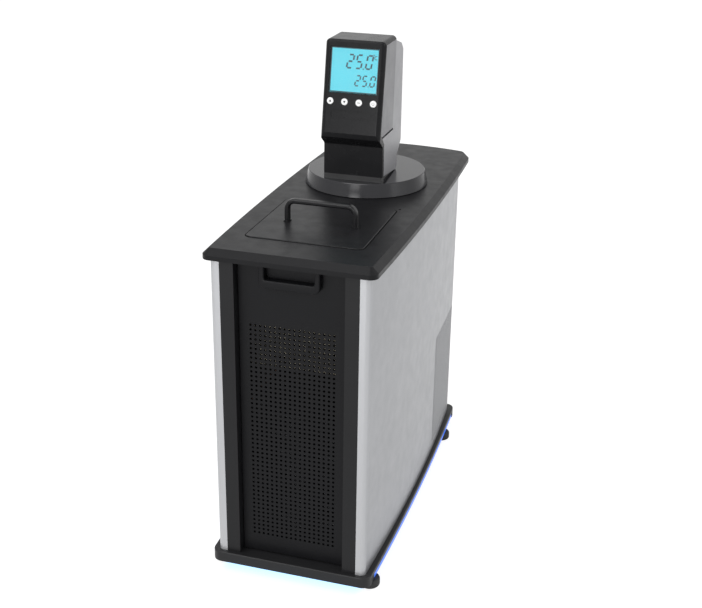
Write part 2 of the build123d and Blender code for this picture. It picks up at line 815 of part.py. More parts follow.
# Cheeks and side covers: thin side plates, parted by a leaning joint line and a dark groove
side_inner = head_half_width - head_side_inset - side_sheet
for side, word in ((-1, "left"), (1, "right")):
    with BuildPart() as cheek:
        with BuildSketch(Plane.YZ.offset(side * side_inner)):
            with BuildLine():
                Polyline(
                    chin_point(split_level),
                    side_point(head_face_foot + slab_run, head_face_bottom),
                    side_point(front_inner_top, inner_top),
                    side_point(split_top, inner_top),
                    side_point(split_low, split_level),
                    close=True,
                )
            make_face()
        extrude(amount=side * side_sheet)
    cheek.part.label = f"head_cheek_{word}"
    export_step(cheek.part, f"parts/head_cheek_{word}.step")
    with BuildPart() as side_cover:
        with BuildSketch(Plane.YZ.offset(side * side_inner)) as cover_profile:
            with BuildLine():
                Polyline(
                    side_point(low_inner, head_bottom),
                    side_point(low_inner, head_neck_level + 3),
                    chin_point(split_level - groove_height),
                    side_point(groove_back, split_level - groove_height),
                    side_point(split_low, split_level),
                    side_point(split_top, inner_top - 2),
                    side_point(split_top + 1, head_shoulder_front),
                    side_point(head_back - shoulder_run, head_shoulder_back + 5),
                    side_point(head_back, head_shoulder_back - 5),
                    side_point(head_back, head_step_top),
                    side_point(head_back_low, head_step_bottom),
                    side_point(head_back_low, disc_top + 6),
                    side_point(head_back_low - 6, disc_top + gap),
                    close=True,
                )
            make_face()
        extrude(amount=side * side_sheet)
    side_cover.part.label = f"head_side_{word}"
    export_step(side_cover.part, f"parts/head_side_{word}.step")

# Rear cover: a bent wall between the side covers, with holes for the ports and the dial
port_x = 31.0
port_level = 496.0
port_radius = 4.5
port_length = 9.0
port_wall = 1.5
dial_x = -20.0
dial_level = 575.0
dial_shaft = 2.0
dial_radius = 8.0
dial_height = 5.0
dial_shaft_length = 10.0
dial_boss = 8.0
with BuildPart() as head_rear:
    with BuildSketch(Plane.YZ):
        with BuildLine():
            Polyline(
                side_point(head_cap_back - 4, inner_top),
                side_point(head_cap_back, inner_top),
                side_point(head_cap_back + 2, head_shoulder_front),
                side_point(head_back - shoulder_run, head_shoulder_back + 5),
                side_point(head_back, head_shoulder_back - 5),
                side_point(head_back, head_step_top),
                side_point(head_back_low, head_step_bottom),
                side_point(head_back_low, head_bottom),
                side_point(head_back_low - head_wall, head_bottom),
                side_point(head_back_low - head_wall, head_step_bottom + 1.5),
                side_point(head_back - head_wall, head_step_top + 1.5),
                side_point(head_back - head_wall, head_shoulder_back - 6.5),
                side_point(head_back - shoulder_run - 1, head_shoulder_back + 2),
                side_point(head_cap_back - 4, head_shoulder_front - head_wall),
                close=True,
            )
        make_face()
    extrude(amount=side_inner, both=True)
    with BuildSketch(Plane.XZ.offset(-(axis_y + head_back_low - head_wall))):
        with Locations((-port_x, port_level), (port_x, port_level)):
            Circle(port_radius)
    extrude(amount=-(head_wall + port_length))
    with BuildSketch(Plane.XZ.offset(-(axis_y + head_back - head_wall))):
        with Locations((dial_x, dial_level)):
            Circle(dial_boss)
    extrude(amount=dial_boss)
    with BuildSketch(Plane.XZ.offset(-(axis_y + head_back_low - head_wall))):
        with Locations((-port_x, port_level), (port_x, port_level)):
            Circle(port_radius - port_wall)
    extrude(amount=-(head_wall + port_length), mode=Mode.SUBTRACT)
    with BuildSketch(Plane.XZ.offset(-(axis_y + head_back))):
        with Locations((dial_x, dial_level)):
            Circle(dial_shaft + running_gap)
    extrude(amount=dial_shaft_length + gap, mode=Mode.SUBTRACT)
head_rear.part.label = "head_rear"
export_step(head_rear.part, "parts/head_rear.step")

# Push-on plugs that close the two ports at the lower back
with BuildPart() as port_plugs:
    with BuildSketch(Plane.XZ.offset(-(axis_y + head_back_low + 1))):
        with Locations((-port_x, port_level), (port_x, port_level)):
            Circle(port_radius + gap + port_wall)
    extrude(amount=-(port_length + 4))
    fillet(port_plugs.edges().filter_by(GeomType.CIRCLE).group_by(Axis.Y)[-1], 1.5)
    with BuildSketch(Plane.XZ.offset(-(axis_y + head_back_low + 1))):
        with Locations((-port_x, port_level), (port_x, port_level)):
            Circle(port_radius + running_gap)
    extrude(amount=-(port_length - 1), mode=Mode.SUBTRACT)
port_plugs.part.label = "port_plugs"
export_step(port_plugs.part, "parts/port_plugs.step")

# Safety dial on the back, its shaft turning in the rear cover's boss
with BuildPart() as safety_dial:
    with BuildSketch(Plane.XZ.offset(-(axis_y + head_back))):
        with Locations((dial_x, dial_level)):
            Circle(dial_radius)
    extrude(amount=-dial_height)
    fillet(safety_dial.faces().sort_by(Axis.Y)[-1].edges(), 1)
    with BuildSketch(Plane.XZ.offset(-(axis_y + head_back))):
        with Locations((dial_x, dial_level)):
            Circle(dial_shaft)
    extrude(amount=dial_shaft_length)
    with Locations((dial_x, axis_y + head_back + dial_height, dial_level + dial_radius / 2)):
        Box(1.2, 1.2, dial_radius * 0.8, mode=Mode.SUBTRACT)
safety_dial.part.label = "safety_dial"
export_step(safety_dial.part, "parts/safety_dial.step")
# Display window, display module and its figures
module_width = window_width + 3
module_height = window_height + 3
with BuildPart() as display_window:
    with BuildSketch(face_plane.offset(-window_depth)):
        with Locations((0, window_center)):
            Rectangle(window_width, window_height)
    extrude(amount=-glass_thickness)
display_window.part.label = "display_window"
export_step(display_window.part, "parts/display_window.step")
module_front = window_depth + glass_thickness + gap
with BuildPart() as display_module:
    with BuildSketch(face_plane.offset(-face_slab)):
        with Locations((0, window_center)):
            Rectangle(module_width, module_height)
    extrude(amount=-(board_level - face_slab))
    with BuildSketch(face_plane.offset(-face_slab)):
        with Locations((0, window_center)):
            Rectangle(window_width - 2 - 2 * gap, window_height - 2 - 2 * gap)
    extrude(amount=face_slab - module_front)
display_module.part.label = "display_module"
export_step(display_module.part, "parts/display_module.step")

# Seven-segment figures: which bars each figure lights, from the top bar round to the middle one
figure_bars = {"2": "abged", "5": "afgcd", "0": "abcdef"}
digit_slant = 0.16
digit_depth = 0.2


def segment_boxes(width, height, bar):
    """Place and size of the seven bars of one figure, from its lower left corner."""
    half = height / 2
    return {
        "a": (width / 2, height - bar / 2, width - 2 * bar, bar),
        "b": (width - bar / 2, height - half / 2, bar, half - 1.6 * bar),
        "c": (width - bar / 2, half / 2, bar, half - 1.6 * bar),
        "d": (width / 2, bar / 2, width - 2 * bar, bar),
        "e": (bar / 2, half / 2, bar, half - 1.6 * bar),
        "f": (bar / 2, height - half / 2, bar, half - 1.6 * bar),
        "g": (width / 2, half, width - 2 * bar, bar),
    }


readings = [
    ("25", -12.5, 83.5, 9.8, 19.8, 2.3, 12.4),
    ("0", 13.9, 83.5, 9.8, 19.8, 2.3, 12.4),
    ("25", 0.6, 60.8, 7.6, 15.2, 1.8, 9.8),
    ("0", 21.4, 60.8, 7.6, 15.2, 1.8, 9.8),
]
points = [(12.2, 84.2, 0.9), (20.6, 61.4, 0.7)]
with BuildPart() as display_figures:
    with BuildSketch(face_plane.offset(-module_front)):
        for text, left, foot_line, width, height, bar, pitch in readings:
            for index, figure in enumerate(text):
                boxes = segment_boxes(width, height, bar)
                for letter in figure_bars[figure]:
                    box_x, box_y, box_width, box_height = boxes[letter]
                    lean = digit_slant * box_height / 2
                    place_x = left + index * pitch + box_x + digit_slant * box_y
                    place_y = foot_line + box_y
                    with BuildLine():
                        Polyline(
                            (place_x - box_width / 2 - lean, place_y - box_height / 2),
                            (place_x + box_width / 2 - lean, place_y - box_height / 2),
                            (place_x + box_width / 2 + lean, place_y + box_height / 2),
                            (place_x - box_width / 2 + lean, place_y + box_height / 2),
                            close=True,
                        )
                    make_face()
        for point_x, point_y, point_radius in points:
            with Locations((point_x, point_y)):
                Circle(point_radius)
    extrude(amount=digit_depth)
display_figures.part.label = "display_figures"
export_step(display_figures.part, "parts/display_figures.step")

# Keys: round caps held by a flange behind the face
key_names = ["key_up", "key_down", "key_enter", "key_power"]
for place, name in zip(key_places, key_names):
    with BuildPart() as key:
        with BuildSketch(face_plane.offset(-face_slab)):
            with Locations(place):
                Circle(key_radius)
        extrude(amount=face_slab + key_proud)
        fillet(key.edges().filter_by(GeomType.CIRCLE).sort_by(Axis.Y)[0], 0.6)
        with BuildSketch(face_plane.offset(-face_slab)):
            with Locations(place):
                Circle(key_flange)
        extrude(amount=-key_flange_thickness)
    key.part.label = name
    export_step(key.part, f"parts/{name}.step")

# Circuit board behind the display, with a switch under each key
switch_top = face_slab + key_flange_thickness + key_travel + 0.1
with BuildPart() as circuit_board:
    with BuildSketch(face_plane.offset(-board_level)):
        with Locations((0, board_center)):
            Rectangle(board_width, board_height)
    extrude(amount=-board_thickness)
    with BuildSketch(face_plane.offset(-board_level)):
        with Locations(*key_places):
            Circle(3)
    extrude(amount=board_level - switch_top)
    with BuildSketch(face_plane.offset(-board_level - board_thickness)):
        with Locations((-20, 90), (18, 95)):
            Rectangle(14, 14)
        with Locations((0, 45)):
            Rectangle(30, 12)
    extrude(amount=-4)
circuit_board.part.label = "circuit_board"
export_step(circuit_board.part, "parts/circuit_board.step")

# Pump motor inside the lower head, over the shaft hole
motor_bore_depth = 12.0
with BuildPart() as pump_motor:
    with Locations((0, pump_y, head_bottom)):
        Cylinder(motor_radius, motor_height, align=(Align.CENTER, Align.CENTER, Align.MIN))
    fillet(pump_motor.faces().sort_by(Axis.Z)[-1].edges(), 3)
    with Locations((0, pump_y, head_bottom)):
        Cylinder(
            shaft_radius + running_gap, motor_bore_depth,
            align=(Align.CENTER, Align.CENTER, Align.MIN), mode=Mode.SUBTRACT,
        )
pump_motor.part.label = "pump_motor"
export_step(pump_motor.part, "parts/pump_motor.step")

# Pump column: a tube under the disc that carries the pump housing at its lower end
pump_wall = 3.0
pump_top = pump_level + pump_height
chamber_radius = pump_radius - pump_wall
chamber_low = pump_level + pump_wall
chamber_high = pump_top - pump_wall
inlet_radius = 9.0
outlet_radius = 4.0
bearing_length = 8.0
with BuildPart() as pump_column:
    with BuildSketch(Plane.XZ.offset(-pump_y)):
        with BuildLine():
            Polyline(
                (inlet_radius, pump_level),
                (pump_radius, pump_level),
                (pump_radius, pump_top),
                (column_radius, pump_top),
                (column_radius, spigot_bottom),
                (column_radius - 3, spigot_bottom),
                (column_radius - 3, pump_top + bearing_length),
                (shaft_radius + running_gap, pump_top + bearing_length),
                (shaft_radius + running_gap, chamber_high),
                (chamber_radius, chamber_high),
                (chamber_radius, chamber_low),
                (inlet_radius, chamber_low),
                close=True,
            )
        make_face()
    revolve(axis=Axis((0, pump_y, 0), (0, 0, 1)))
    with BuildSketch(Plane.YZ.offset(-pump_radius - 8)):
        with Locations((pump_y, (chamber_low + chamber_high) / 2)):
            Circle(outlet_radius + 2)
    extrude(amount=10)
    with BuildSketch(Plane.YZ.offset(-pump_radius - 8)):
        with Locations((pump_y, (chamber_low + chamber_high) / 2)):
            Circle(outlet_radius)
    extrude(amount=14, mode=Mode.SUBTRACT)
pump_column.part.label = "pump_column"
export_step(pump_column.part, "parts/pump_column.step")

# Pump rotor: long shaft with a bladed wheel in the pump housing
wheel_low = chamber_low + 2
blade_height = 8.0
with BuildPart() as pump_rotor:
    with BuildSketch(Plane.XY.offset(wheel_low)):
        with Locations((0, pump_y)):
            Circle(shaft_radius)
    extrude(amount=head_bottom + motor_bore_depth - 1 - wheel_low)
    with BuildSketch(Plane.XY.offset(wheel_low + blade_height)):
        with Locations((0, pump_y)):
            Circle(impeller_radius)
    extrude(amount=2.5)
    with BuildSketch(Plane.XY.offset(wheel_low)):
        with Locations((0, pump_y)):
            with PolarLocations((impeller_radius + shaft_radius) / 2 - 0.5, 6):
                Rectangle(impeller_radius - shaft_radius + 1, 1.6)
    extrude(amount=blade_height)
pump_rotor.part.label = "pump_rotor"
export_step(pump_rotor.part, "parts/pump_rotor.step")

# Heater: rings of sheathed element round the column, on two legs from the disc
with BuildPart() as heater_coil:
    for turn in range(heater_turns):
        with Locations((0, pump_y, heater_level + turn * heater_pitch)):
            Torus(heater_radius, heater_tube)
    with Locations((0, pump_y - heater_radius, heater_level), (0, pump_y + heater_radius, heater_level)):
        Cylinder(
            heater_tube - 0.7, spigot_bottom - heater_level,
            align=(Align.CENTER, Align.CENTER, Align.MIN),
        )
heater_coil.part.label = "heater_coil"
export_step(heater_coil.part, "parts/heater_coil.step")

# Probes: a temperature probe and the stem of the level float, both under the disc
probe_radius = 2.5
probe_x = -14.0
probe_y = axis_y + 42
probe_level = 345.0
stem_radius = 2.0
stem_x = 18.0
stem_y = axis_y + 40
stem_level = 400.0
stop_radius = 4.0
stop_height = 3.0
with BuildPart() as probe_rods:
    with Locations((probe_x, probe_y, probe_level)):
        Cylinder(
            probe_radius, spigot_bottom - probe_level,
            align=(Align.CENTER, Align.CENTER, Align.MIN),
        )
    with Locations((stem_x, stem_y, stem_level)):
        Cylinder(
            stem_radius, spigot_bottom - stem_level,
            align=(Align.CENTER, Align.CENTER, Align.MIN),
        )
        Cylinder(stop_radius, stop_height, align=(Align.CENTER, Align.CENTER, Align.MIN))
probe_rods.part.label = "probe_rods"
export_step(probe_rods.part, "parts/probe_rods.step")
float_radius = 9.0
float_height = 14.0
float_travel = 10.0
float_level = stem_level + stop_height
with BuildPart() as level_float:
    with Locations((stem_x, stem_y, float_level)):
        Cylinder(float_radius, float_height, align=(Align.CENTER, Align.CENTER, Align.MIN))
    fillet(level_float.edges().filter_by(GeomType.CIRCLE), 2)
    with Locations((stem_x, stem_y, float_level)):
        Cylinder(
            stem_radius + running_gap, float_height,
            align=(Align.CENTER, Align.CENTER, Align.MIN), mode=Mode.SUBTRACT,
        )
level_float.part.label = "level_float"
export_step(level_float.part, "parts/level_float.step")

# Compressor: round shell with a seam and a domed top, on a plate with four rubber mounts
mount_height = 15.0
mount_radius = 8.0
mount_x = 52.0
mount_y = 46.0
mount_plate = 3.0
shell_low = tray_top + mount_height + mount_plate
shell_high = tray_top + mount_height + compressor_height
stub_radius = 5.0
stub_reach = 4.0
suction_level = 150.0
discharge_level = 120.0
mount_places = [(side * mount_x, compressor_y + end * mount_y) for side in (-1, 1) for end in (-1, 1)]
with BuildPart() as compressor:
    with BuildSketch(Plane.XY.offset(shell_low - mount_plate)):
        with Locations((0, compressor_y)):
            RectangleRounded(2 * (mount_x + 12), 2 * (mount_y + 12), 10)
    extrude(amount=mount_plate)
    with Locations((0, compressor_y, shell_low)):
        Cylinder(
            compressor_radius, shell_high - shell_low,
            align=(Align.CENTER, Align.CENTER, Align.MIN),
        )
    fillet(compressor.faces().sort_by(Axis.Z)[-1].edges(), 24)
    with Locations((0, compressor_y, (shell_low + shell_high) / 2)):
        Cylinder(compressor_radius + 2, 4)
    with BuildSketch(Plane.YZ.offset(compressor_radius - 6)):
        with Locations((compressor_y, suction_level)):
            Circle(stub_radius)
    extrude(amount=6 + stub_reach)
    with BuildSketch(Plane.YZ.offset(6 - compressor_radius)):
        with Locations((compressor_y, discharge_level)):
            Circle(stub_radius)
    extrude(amount=-6 - stub_reach)
compressor.part.label = "compressor"
export_step(compressor.part, "parts/compressor.step")
with BuildPart() as compressor_mounts:
    with BuildSketch(Plane.XY.offset(tray_top)):
        with Locations(*mount_places):
            Circle(mount_radius)
    extrude(amount=mount_height)
compressor_mounts.part.label = "compressor_mounts"
export_step(compressor_mounts.part, "parts/compressor_mounts.step")

# Condenser: fins on rows of tube, on two feet
fin_count = 23
fin_thickness = 0.8
fin_tube = 4.0
tube_rows = 7
tube_pitch = 25.0
tube_reach = 5.0
condenser_y = condenser_front + condenser_depth / 2
lowest_tube = fan_level - (tube_rows - 1) / 2 * tube_pitch
with BuildPart() as condenser:
    with BuildSketch(Plane.XY.offset(condenser_bottom)):
        with Locations((0, condenser_y)):
            with GridLocations((condenser_width - fin_thickness) / (fin_count - 1), 1, fin_count, 1):
                Rectangle(fin_thickness, condenser_depth)
    extrude(amount=condenser_height)
    with BuildSketch(Plane.YZ.offset(-condenser_width / 2 - tube_reach)):
        with Locations((condenser_y, fan_level)):
            with GridLocations(1, tube_pitch, 1, tube_rows):
                Circle(fin_tube)
    extrude(amount=condenser_width + 2 * tube_reach)
    for side in (-1, 1):
        with BuildSketch(Plane.YZ.offset(side * condenser_width / 2)):
            with Locations((condenser_y, (tray_top + condenser_bottom + condenser_height) / 2)):
                Rectangle(condenser_depth, condenser_bottom + condenser_height - tray_top)
        extrude(amount=side * 1.5)
condenser.part.label = "condenser"
export_step(condenser.part, "parts/condenser.step")

# Fan shroud: frame with a round throat and a bar across that carries the motor
shroud_front = condenser_front + condenser_depth
shroud_back = shroud_front + fan_depth
throat_radius = fan_radius + 2
motor_seat = 3.0
fan_motor_radius = 20.0
fan_motor_length = 34.0
fan_shaft = 2.0
with BuildPart() as fan_shroud:
    with BuildSketch(Plane.XZ.offset(-shroud_back)):
        with Locations((0, (tray_top + condenser_bottom + condenser_height) / 2)):
            Rectangle(condenser_width + 3, condenser_bottom + condenser_height - tray_top)
        with Locations((0, fan_level)):
            Circle(throat_radius, mode=Mode.SUBTRACT)
    extrude(amount=fan_depth)
    with BuildSketch(Plane.XZ.offset(-shroud_back)):
        with Locations((0, fan_level)):
            Rectangle(2 * throat_radius + 4, 10)
            Rectangle(10, 2 * throat_radius + 4)
            Circle(fan_motor_radius)
            Circle(fan_shaft + 1, mode=Mode.SUBTRACT)
    extrude(amount=motor_seat)
fan_shroud.part.label = "fan_shroud"
export_step(fan_shroud.part, "parts/fan_shroud.step")
with BuildPart() as fan_motor:
    with BuildSketch(Plane.XZ.offset(-shroud_back)):
        with Locations((0, fan_level)):
            Circle(fan_motor_radius)
    extrude(amount=-fan_motor_length)
    fillet(fan_motor.faces().sort_by(Axis.Y)[-1].edges(), 3)
    with BuildSketch(Plane.XZ.offset(-shroud_back)):
        with Locations((0, fan_level)):
            Circle(fan_shaft + running_gap)
    extrude(amount=-12, mode=Mode.SUBTRACT)
fan_motor.part.label = "fan_motor"
export_step(fan_motor.part, "parts/fan_motor.step")

# Fan: hub with leaning blades, and its shaft into the motor
blade_angle = 32.0
blade_chord = 20.0
hub_length = 12.0
hub_back = shroud_back - motor_seat - 1.5
hub_center = hub_back - hub_length / 2
with BuildPart() as fan_rotor:
    with BuildSketch(Plane.XZ.offset(-hub_back)):
        with Locations((0, fan_level)):
            Circle(fan_hub_radius)
    extrude(amount=hub_length)
    with BuildSketch(Plane.XZ.offset(-hub_back)):
        with Locations((0, fan_level)):
            Circle(fan_shaft)
    extrude(amount=-(shroud_back - hub_back) - 11)
    for index in range(fan_blades):
        turn = radians(index * 360 / fan_blades)
        outward = (cos(turn), 0, sin(turn))
        blade_base = Plane(
            origin=((fan_hub_radius - 2) * cos(turn), hub_center, fan_level + (fan_hub_radius - 2) * sin(turn)),
            x_dir=(-sin(turn), tan(radians(blade_angle)), cos(turn)),
            z_dir=outward,
        )
        with BuildSketch(blade_base):
            Rectangle(blade_chord, 1.4)
        extrude(amount=fan_radius - fan_hub_radius)
fan_rotor.part.label = "fan_rotor"
export_step(fan_rotor.part, "parts/fan_rotor.step")

# Refrigerant lines, and the drier in the liquid line
coil_entry = coil_bottom - coil_tube
suction_y = compressor_y
drier_x = 84.0
drier_low = 90.0
drier_high = 160.0
drier_radius = 10.0
discharge_x = -80.0
highest_tube = lowest_tube + (tube_rows - 1) * tube_pitch
condenser_end = condenser_width / 2 + tube_reach
stub_end = compressor_radius + stub_reach
with BuildPart() as suction_pipe:
    with BuildLine() as suction_line:
        FilletPolyline(
            (stub_end, suction_y, suction_level),
            (header_x, suction_y, suction_level),
            (header_x, suction_y, coil_entry),
            radius=8,
        )
    with BuildSketch(Plane(origin=(stub_end, suction_y, suction_level), z_dir=(1, 0, 0))):
        Circle(line_radius)
    sweep(path=suction_line.line)
suction_pipe.part.label = "suction_pipe"
export_step(suction_pipe.part, "parts/suction_pipe.step")
with BuildPart() as discharge_pipe:
    with BuildLine() as discharge_line:
        FilletPolyline(
            (-stub_end, compressor_y, discharge_level),
            (discharge_x, compressor_y, discharge_level),
            (discharge_x, compressor_y, highest_tube),
            (discharge_x, condenser_y, highest_tube),
            (-condenser_end, condenser_y, highest_tube),
            radius=8,
        )
    with BuildSketch(Plane(origin=(-stub_end, compressor_y, discharge_level), z_dir=(-1, 0, 0))):
        Circle(line_radius)
    sweep(path=discharge_line.line)
discharge_pipe.part.label = "discharge_pipe"
export_step(discharge_pipe.part, "parts/discharge_pipe.step")
with BuildPart() as liquid_pipe:
    with BuildLine() as liquid_line:
        FilletPolyline(
            (condenser_end, condenser_y, lowest_tube),
            (drier_x, condenser_y, lowest_tube),
            (drier_x, liquid_y, lowest_tube),
            (drier_x, liquid_y, drier_low),
            radius=8,
        )
    with BuildSketch(Plane(origin=(condenser_end, condenser_y, lowest_tube), z_dir=(1, 0, 0))):
        Circle(line_radius)
    sweep(path=liquid_line.line)
    with Locations((drier_x, liquid_y, drier_low)):
        Cylinder(
            drier_radius, drier_high - drier_low,
            align=(Align.CENTER, Align.CENTER, Align.MIN),
        )
    with BuildLine() as feed_line:
        FilletPolyline(
            (drier_x, liquid_y, drier_high),
            (drier_x, liquid_y, drier_high + 70),
            (header_x, liquid_y, drier_high + 100),
            (header_x, liquid_y, coil_entry),
            radius=8,
        )
    with BuildSketch(Plane(origin=(drier_x, liquid_y, drier_high), z_dir=(0, 0, 1))):
        Circle(2)
    sweep(path=feed_line.line)
liquid_pipe.part.label = "liquid_pipe"
export_step(liquid_pipe.part, "parts/liquid_pipe.step")

# Power inlet: flanged socket in the rear panel with three blades
inlet_body = 24.0
inlet_flange = 2.0
inlet_wall = 2.0
with BuildPart() as inlet_socket:
    with BuildSketch(Plane.XZ.offset(-rear_panel_back)):
        with Locations((inlet_x, inlet_level)):
            RectangleRounded(inlet_width + 5, inlet_height + 5, 2)
    extrude(amount=-inlet_flange)
    with BuildSketch(Plane.XZ.offset(-rear_panel_back)):
        with Locations((inlet_x, inlet_level)):
            Rectangle(inlet_width - 2 * gap, inlet_height - 2 * gap)
    extrude(amount=inlet_body)
    with BuildSketch(Plane.XZ.offset(-rear_panel_back - inlet_flange)):
        with Locations((inlet_x, inlet_level)):
            RectangleRounded(inlet_width - 2 * gap - 2 * inlet_wall, inlet_height - 2 * gap - 2 * inlet_wall, 2)
    extrude(amount=16, mode=Mode.SUBTRACT)
    with BuildSketch(Plane.XZ.offset(-rear_panel_back + 14)):
        with Locations((inlet_x - 7, inlet_level - 2), (inlet_x, inlet_level + 3), (inlet_x + 7, inlet_level - 2)):
            Rectangle(2, 5)
    extrude(amount=-12)
inlet_socket.part.label = "inlet_socket"
export_step(inlet_socket.part, "parts/inlet_socket.step")

# Power switch: a framed well in the rear panel and a rocker that tips in it
rocker_gap = 0.6
rocker_depth = 9.0
rocker_tilt = 8.0
well_width = rocker_width - 4
well_height = rocker_height - 4
rocker_round = well_height / 2 - rocker_gap
rocker_pivot_y = rear_panel_back + 1.5
with BuildPart() as switch_frame:
    with BuildSketch(Plane.XZ.offset(-rear_panel_back)):
        with Locations((inlet_x, rocker_level)):
            RectangleRounded(rocker_width + 4, rocker_height + 4, 1.5)
    extrude(amount=-1.5)
    with BuildSketch(Plane.XZ.offset(-rear_panel_back)):
        with Locations((inlet_x, rocker_level)):
            Rectangle(rocker_width - 2 * gap, rocker_height - 2 * gap)
    extrude(amount=14)
    with BuildSketch(Plane.XZ.offset(-rear_panel_back - 1.5)):
        with Locations((inlet_x, rocker_level)):
            Rectangle(well_width, well_height)
    extrude(amount=rocker_depth, mode=Mode.SUBTRACT)
    for side in (-1, 1):
        with BuildSketch(Plane.YZ.offset(inlet_x + side * well_width / 2)):
            with Locations((rocker_pivot_y - 3, rocker_level)):
                Circle(1.2)
        extrude(amount=-side * 1.5)
switch_frame.part.label = "switch_frame"
export_step(switch_frame.part, "parts/switch_frame.step")
rocker_plane = Plane(
    origin=(inlet_x, rocker_pivot_y - 3, rocker_level),
    x_dir=(0, cos(radians(rocker_tilt)), sin(radians(rocker_tilt))),
    z_dir=(1, 0, 0),
)
with BuildPart() as power_switch:
    with BuildSketch(rocker_plane):
        Circle(rocker_round)
        with BuildLine():
            Polyline(
                (0, -rocker_round),
                (4.5, -rocker_round + 0.4),
                (3.2, 0),
                (4.5, rocker_round - 0.4),
                (0, rocker_round),
                close=True,
            )
        make_face()
    extrude(amount=well_width / 2 - gap, both=True)
    for side in (-1, 1):
        with BuildSketch(Plane.YZ.offset(inlet_x + side * well_width / 2)):
            with Locations((rocker_pivot_y - 3, rocker_level)):
                Circle(1.2 + running_gap)
        extrude(amount=-side * 1.8, mode=Mode.SUBTRACT)
power_switch.part.label = "power_switch"
export_step(power_switch.part, "parts/power_switch.step")

# Power box: a tray-mounted housing, open towards the rear, with its board on posts
box_left = -84.0
box_right = -24.0
box_front = 140.0
box_back = 198.0
box_top = 150.0
box_wall = 2.0
with BuildPart() as power_box:
    with Locations(((box_left + box_right) / 2, (box_front + box_back) / 2, (tray_top + box_top) / 2)):
        Box(box_right - box_left, box_back - box_front, box_top - tray_top)
    with Locations(((box_left + box_right) / 2, (box_front + box_back) / 2 + box_wall, (tray_top + box_top) / 2)):
        Box(
            box_right - box_left - 2 * box_wall, box_back - box_front,
            box_top - tray_top - 2 * box_wall, mode=Mode.SUBTRACT,
        )
    with BuildSketch(Plane.XZ.offset(-box_front - box_wall)):
        with Locations(((box_left + box_right) / 2, (tray_top + box_top) / 2)):
            with GridLocations(40, 90, 2, 2):
                Circle(3)
    extrude(amount=-8)
    with BuildSketch(Plane.XZ.offset(-box_front - box_wall - 8)):
        with Locations(((box_left + box_right) / 2, (tray_top + box_top) / 2)):
            Rectangle(50, 104)
    extrude(amount=-1.6)
    with BuildSketch(Plane.XZ.offset(-box_front - box_wall - 9.6)):
        with Locations(((box_left + box_right) / 2, 60)):
            Rectangle(30, 26)
        with Locations(((box_left + box_right) / 2 - 10, 100)):
            Circle(9)
        with Locations(((box_left + box_right) / 2 + 12, 105)):
            Rectangle(14, 20)
    extrude(amount=-18)
power_box.part.label = "power_box"
export_step(power_box.part, "parts/power_box.step")
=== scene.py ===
"""Looks of a narrow refrigerated bath: pierced grille, vents, figures, keys, finishes and the white set."""
import math

import bpy
import numpy as np
from mathutils import Matrix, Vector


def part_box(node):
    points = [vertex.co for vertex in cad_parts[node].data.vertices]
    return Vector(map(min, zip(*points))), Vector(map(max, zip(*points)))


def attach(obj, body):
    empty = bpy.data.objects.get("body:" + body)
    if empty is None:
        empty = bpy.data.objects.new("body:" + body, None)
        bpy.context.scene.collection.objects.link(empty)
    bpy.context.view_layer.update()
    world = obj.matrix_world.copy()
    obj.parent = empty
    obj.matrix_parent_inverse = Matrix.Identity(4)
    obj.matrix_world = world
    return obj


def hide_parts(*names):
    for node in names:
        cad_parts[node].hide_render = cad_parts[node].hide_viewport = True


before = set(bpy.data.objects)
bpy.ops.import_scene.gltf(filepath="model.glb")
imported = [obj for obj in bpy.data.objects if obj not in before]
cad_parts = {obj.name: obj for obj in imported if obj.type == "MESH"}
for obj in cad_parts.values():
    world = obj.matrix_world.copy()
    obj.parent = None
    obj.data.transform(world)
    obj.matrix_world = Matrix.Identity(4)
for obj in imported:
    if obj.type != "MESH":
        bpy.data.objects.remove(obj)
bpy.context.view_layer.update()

bl_info = {
    "name": "Refrigerated Bath Looks",
    "version": (1, 0, 0),
    "blender": (4, 5, 0),
    "location": "View3D > Sidebar > Bath",
    "description": "Builds the visible skins, finishes, lights and camera of a refrigerated bath",
    "category": "Object",
}

MM = 0.001

# Cabinet plan: the bowed side panels
BOW_CENTER = -30 * MM
CABINET_HALF = 110.5 * MM
CABINET_BOW = 4.0
# Y range over which the side panels turn to the paler colour of painted light on their front edge
LIT_EDGE_BACK = -266 * MM
LIT_EDGE_FRONT = -272 * MM

# Tilted face of the head
FACE_TILT = math.radians(10)
FACE_FOOT_Y = -26.206 * MM
FACE_FOOT_Z = 555.8 * MM
KEY_LINE = 39.4 * MM
KEY_PITCH = 20.1 * MM
KEY_PROUD = 1.2 * MM
SCREEN_DEPTH = 3.0 * MM
MARK_HEIGHT = 0.1 * MM
KEY_MARK_HEIGHT = 0.08 * MM

# Pierced sheet and pull of the front grille
SHEET = 2.5 * MM
SHEET_SOFT_EDGE = 0.8 * MM
PULL_OUTER_HALF = 39.5 * MM
PULL_OUTER_FOOT = 418 * MM
PULL_OUTER_CORNER = 8 * MM
PULL_INNER_HALF = 32.5 * MM
PULL_INNER_FOOT = 429 * MM
PULL_INNER_CORNER = 3 * MM
PULL_ROUND = 2.2 * MM

# Vent fields of the side panels, a hair outside them
VENT_COLUMNS = 18
VENT_Y = (80 * MM, 216 * MM)
VENT_Z = (40 * MM, 219 * MM)
VENT_LIFT = 0.12 * MM
VENT_HOLE_RADIUS = 1.15 * MM

# Painted shadow line round the lid: how far each row lies outside the lid and above the deck
LID_CORNER = 8.7 * MM
SHADOW_LINE_ROWS = ((0.1 * MM, 0.03 * MM), (1.3 * MM, 0.10 * MM), (1.6 * MM, 0.01 * MM))

# Set: floor, the painted pool of blue light on it before the tray, world and camera
FLOOR_HALF = 12.0
FLOOR_SEEN = 0.84
PAINTED_GLOW_CENTRE_Y = -0.268
PAINTED_GLOW_HALF = (0.088, 0.014, 0)
PAINTED_GLOW_REACH = 0.016
PAINTED_GLOW_TINT = (0.82, 1.33, 2.0, 1)
WORLD_AS_LIGHT = 0.45
CAMERA_PLACE = (0.45676, -1.53421, 0.96758)


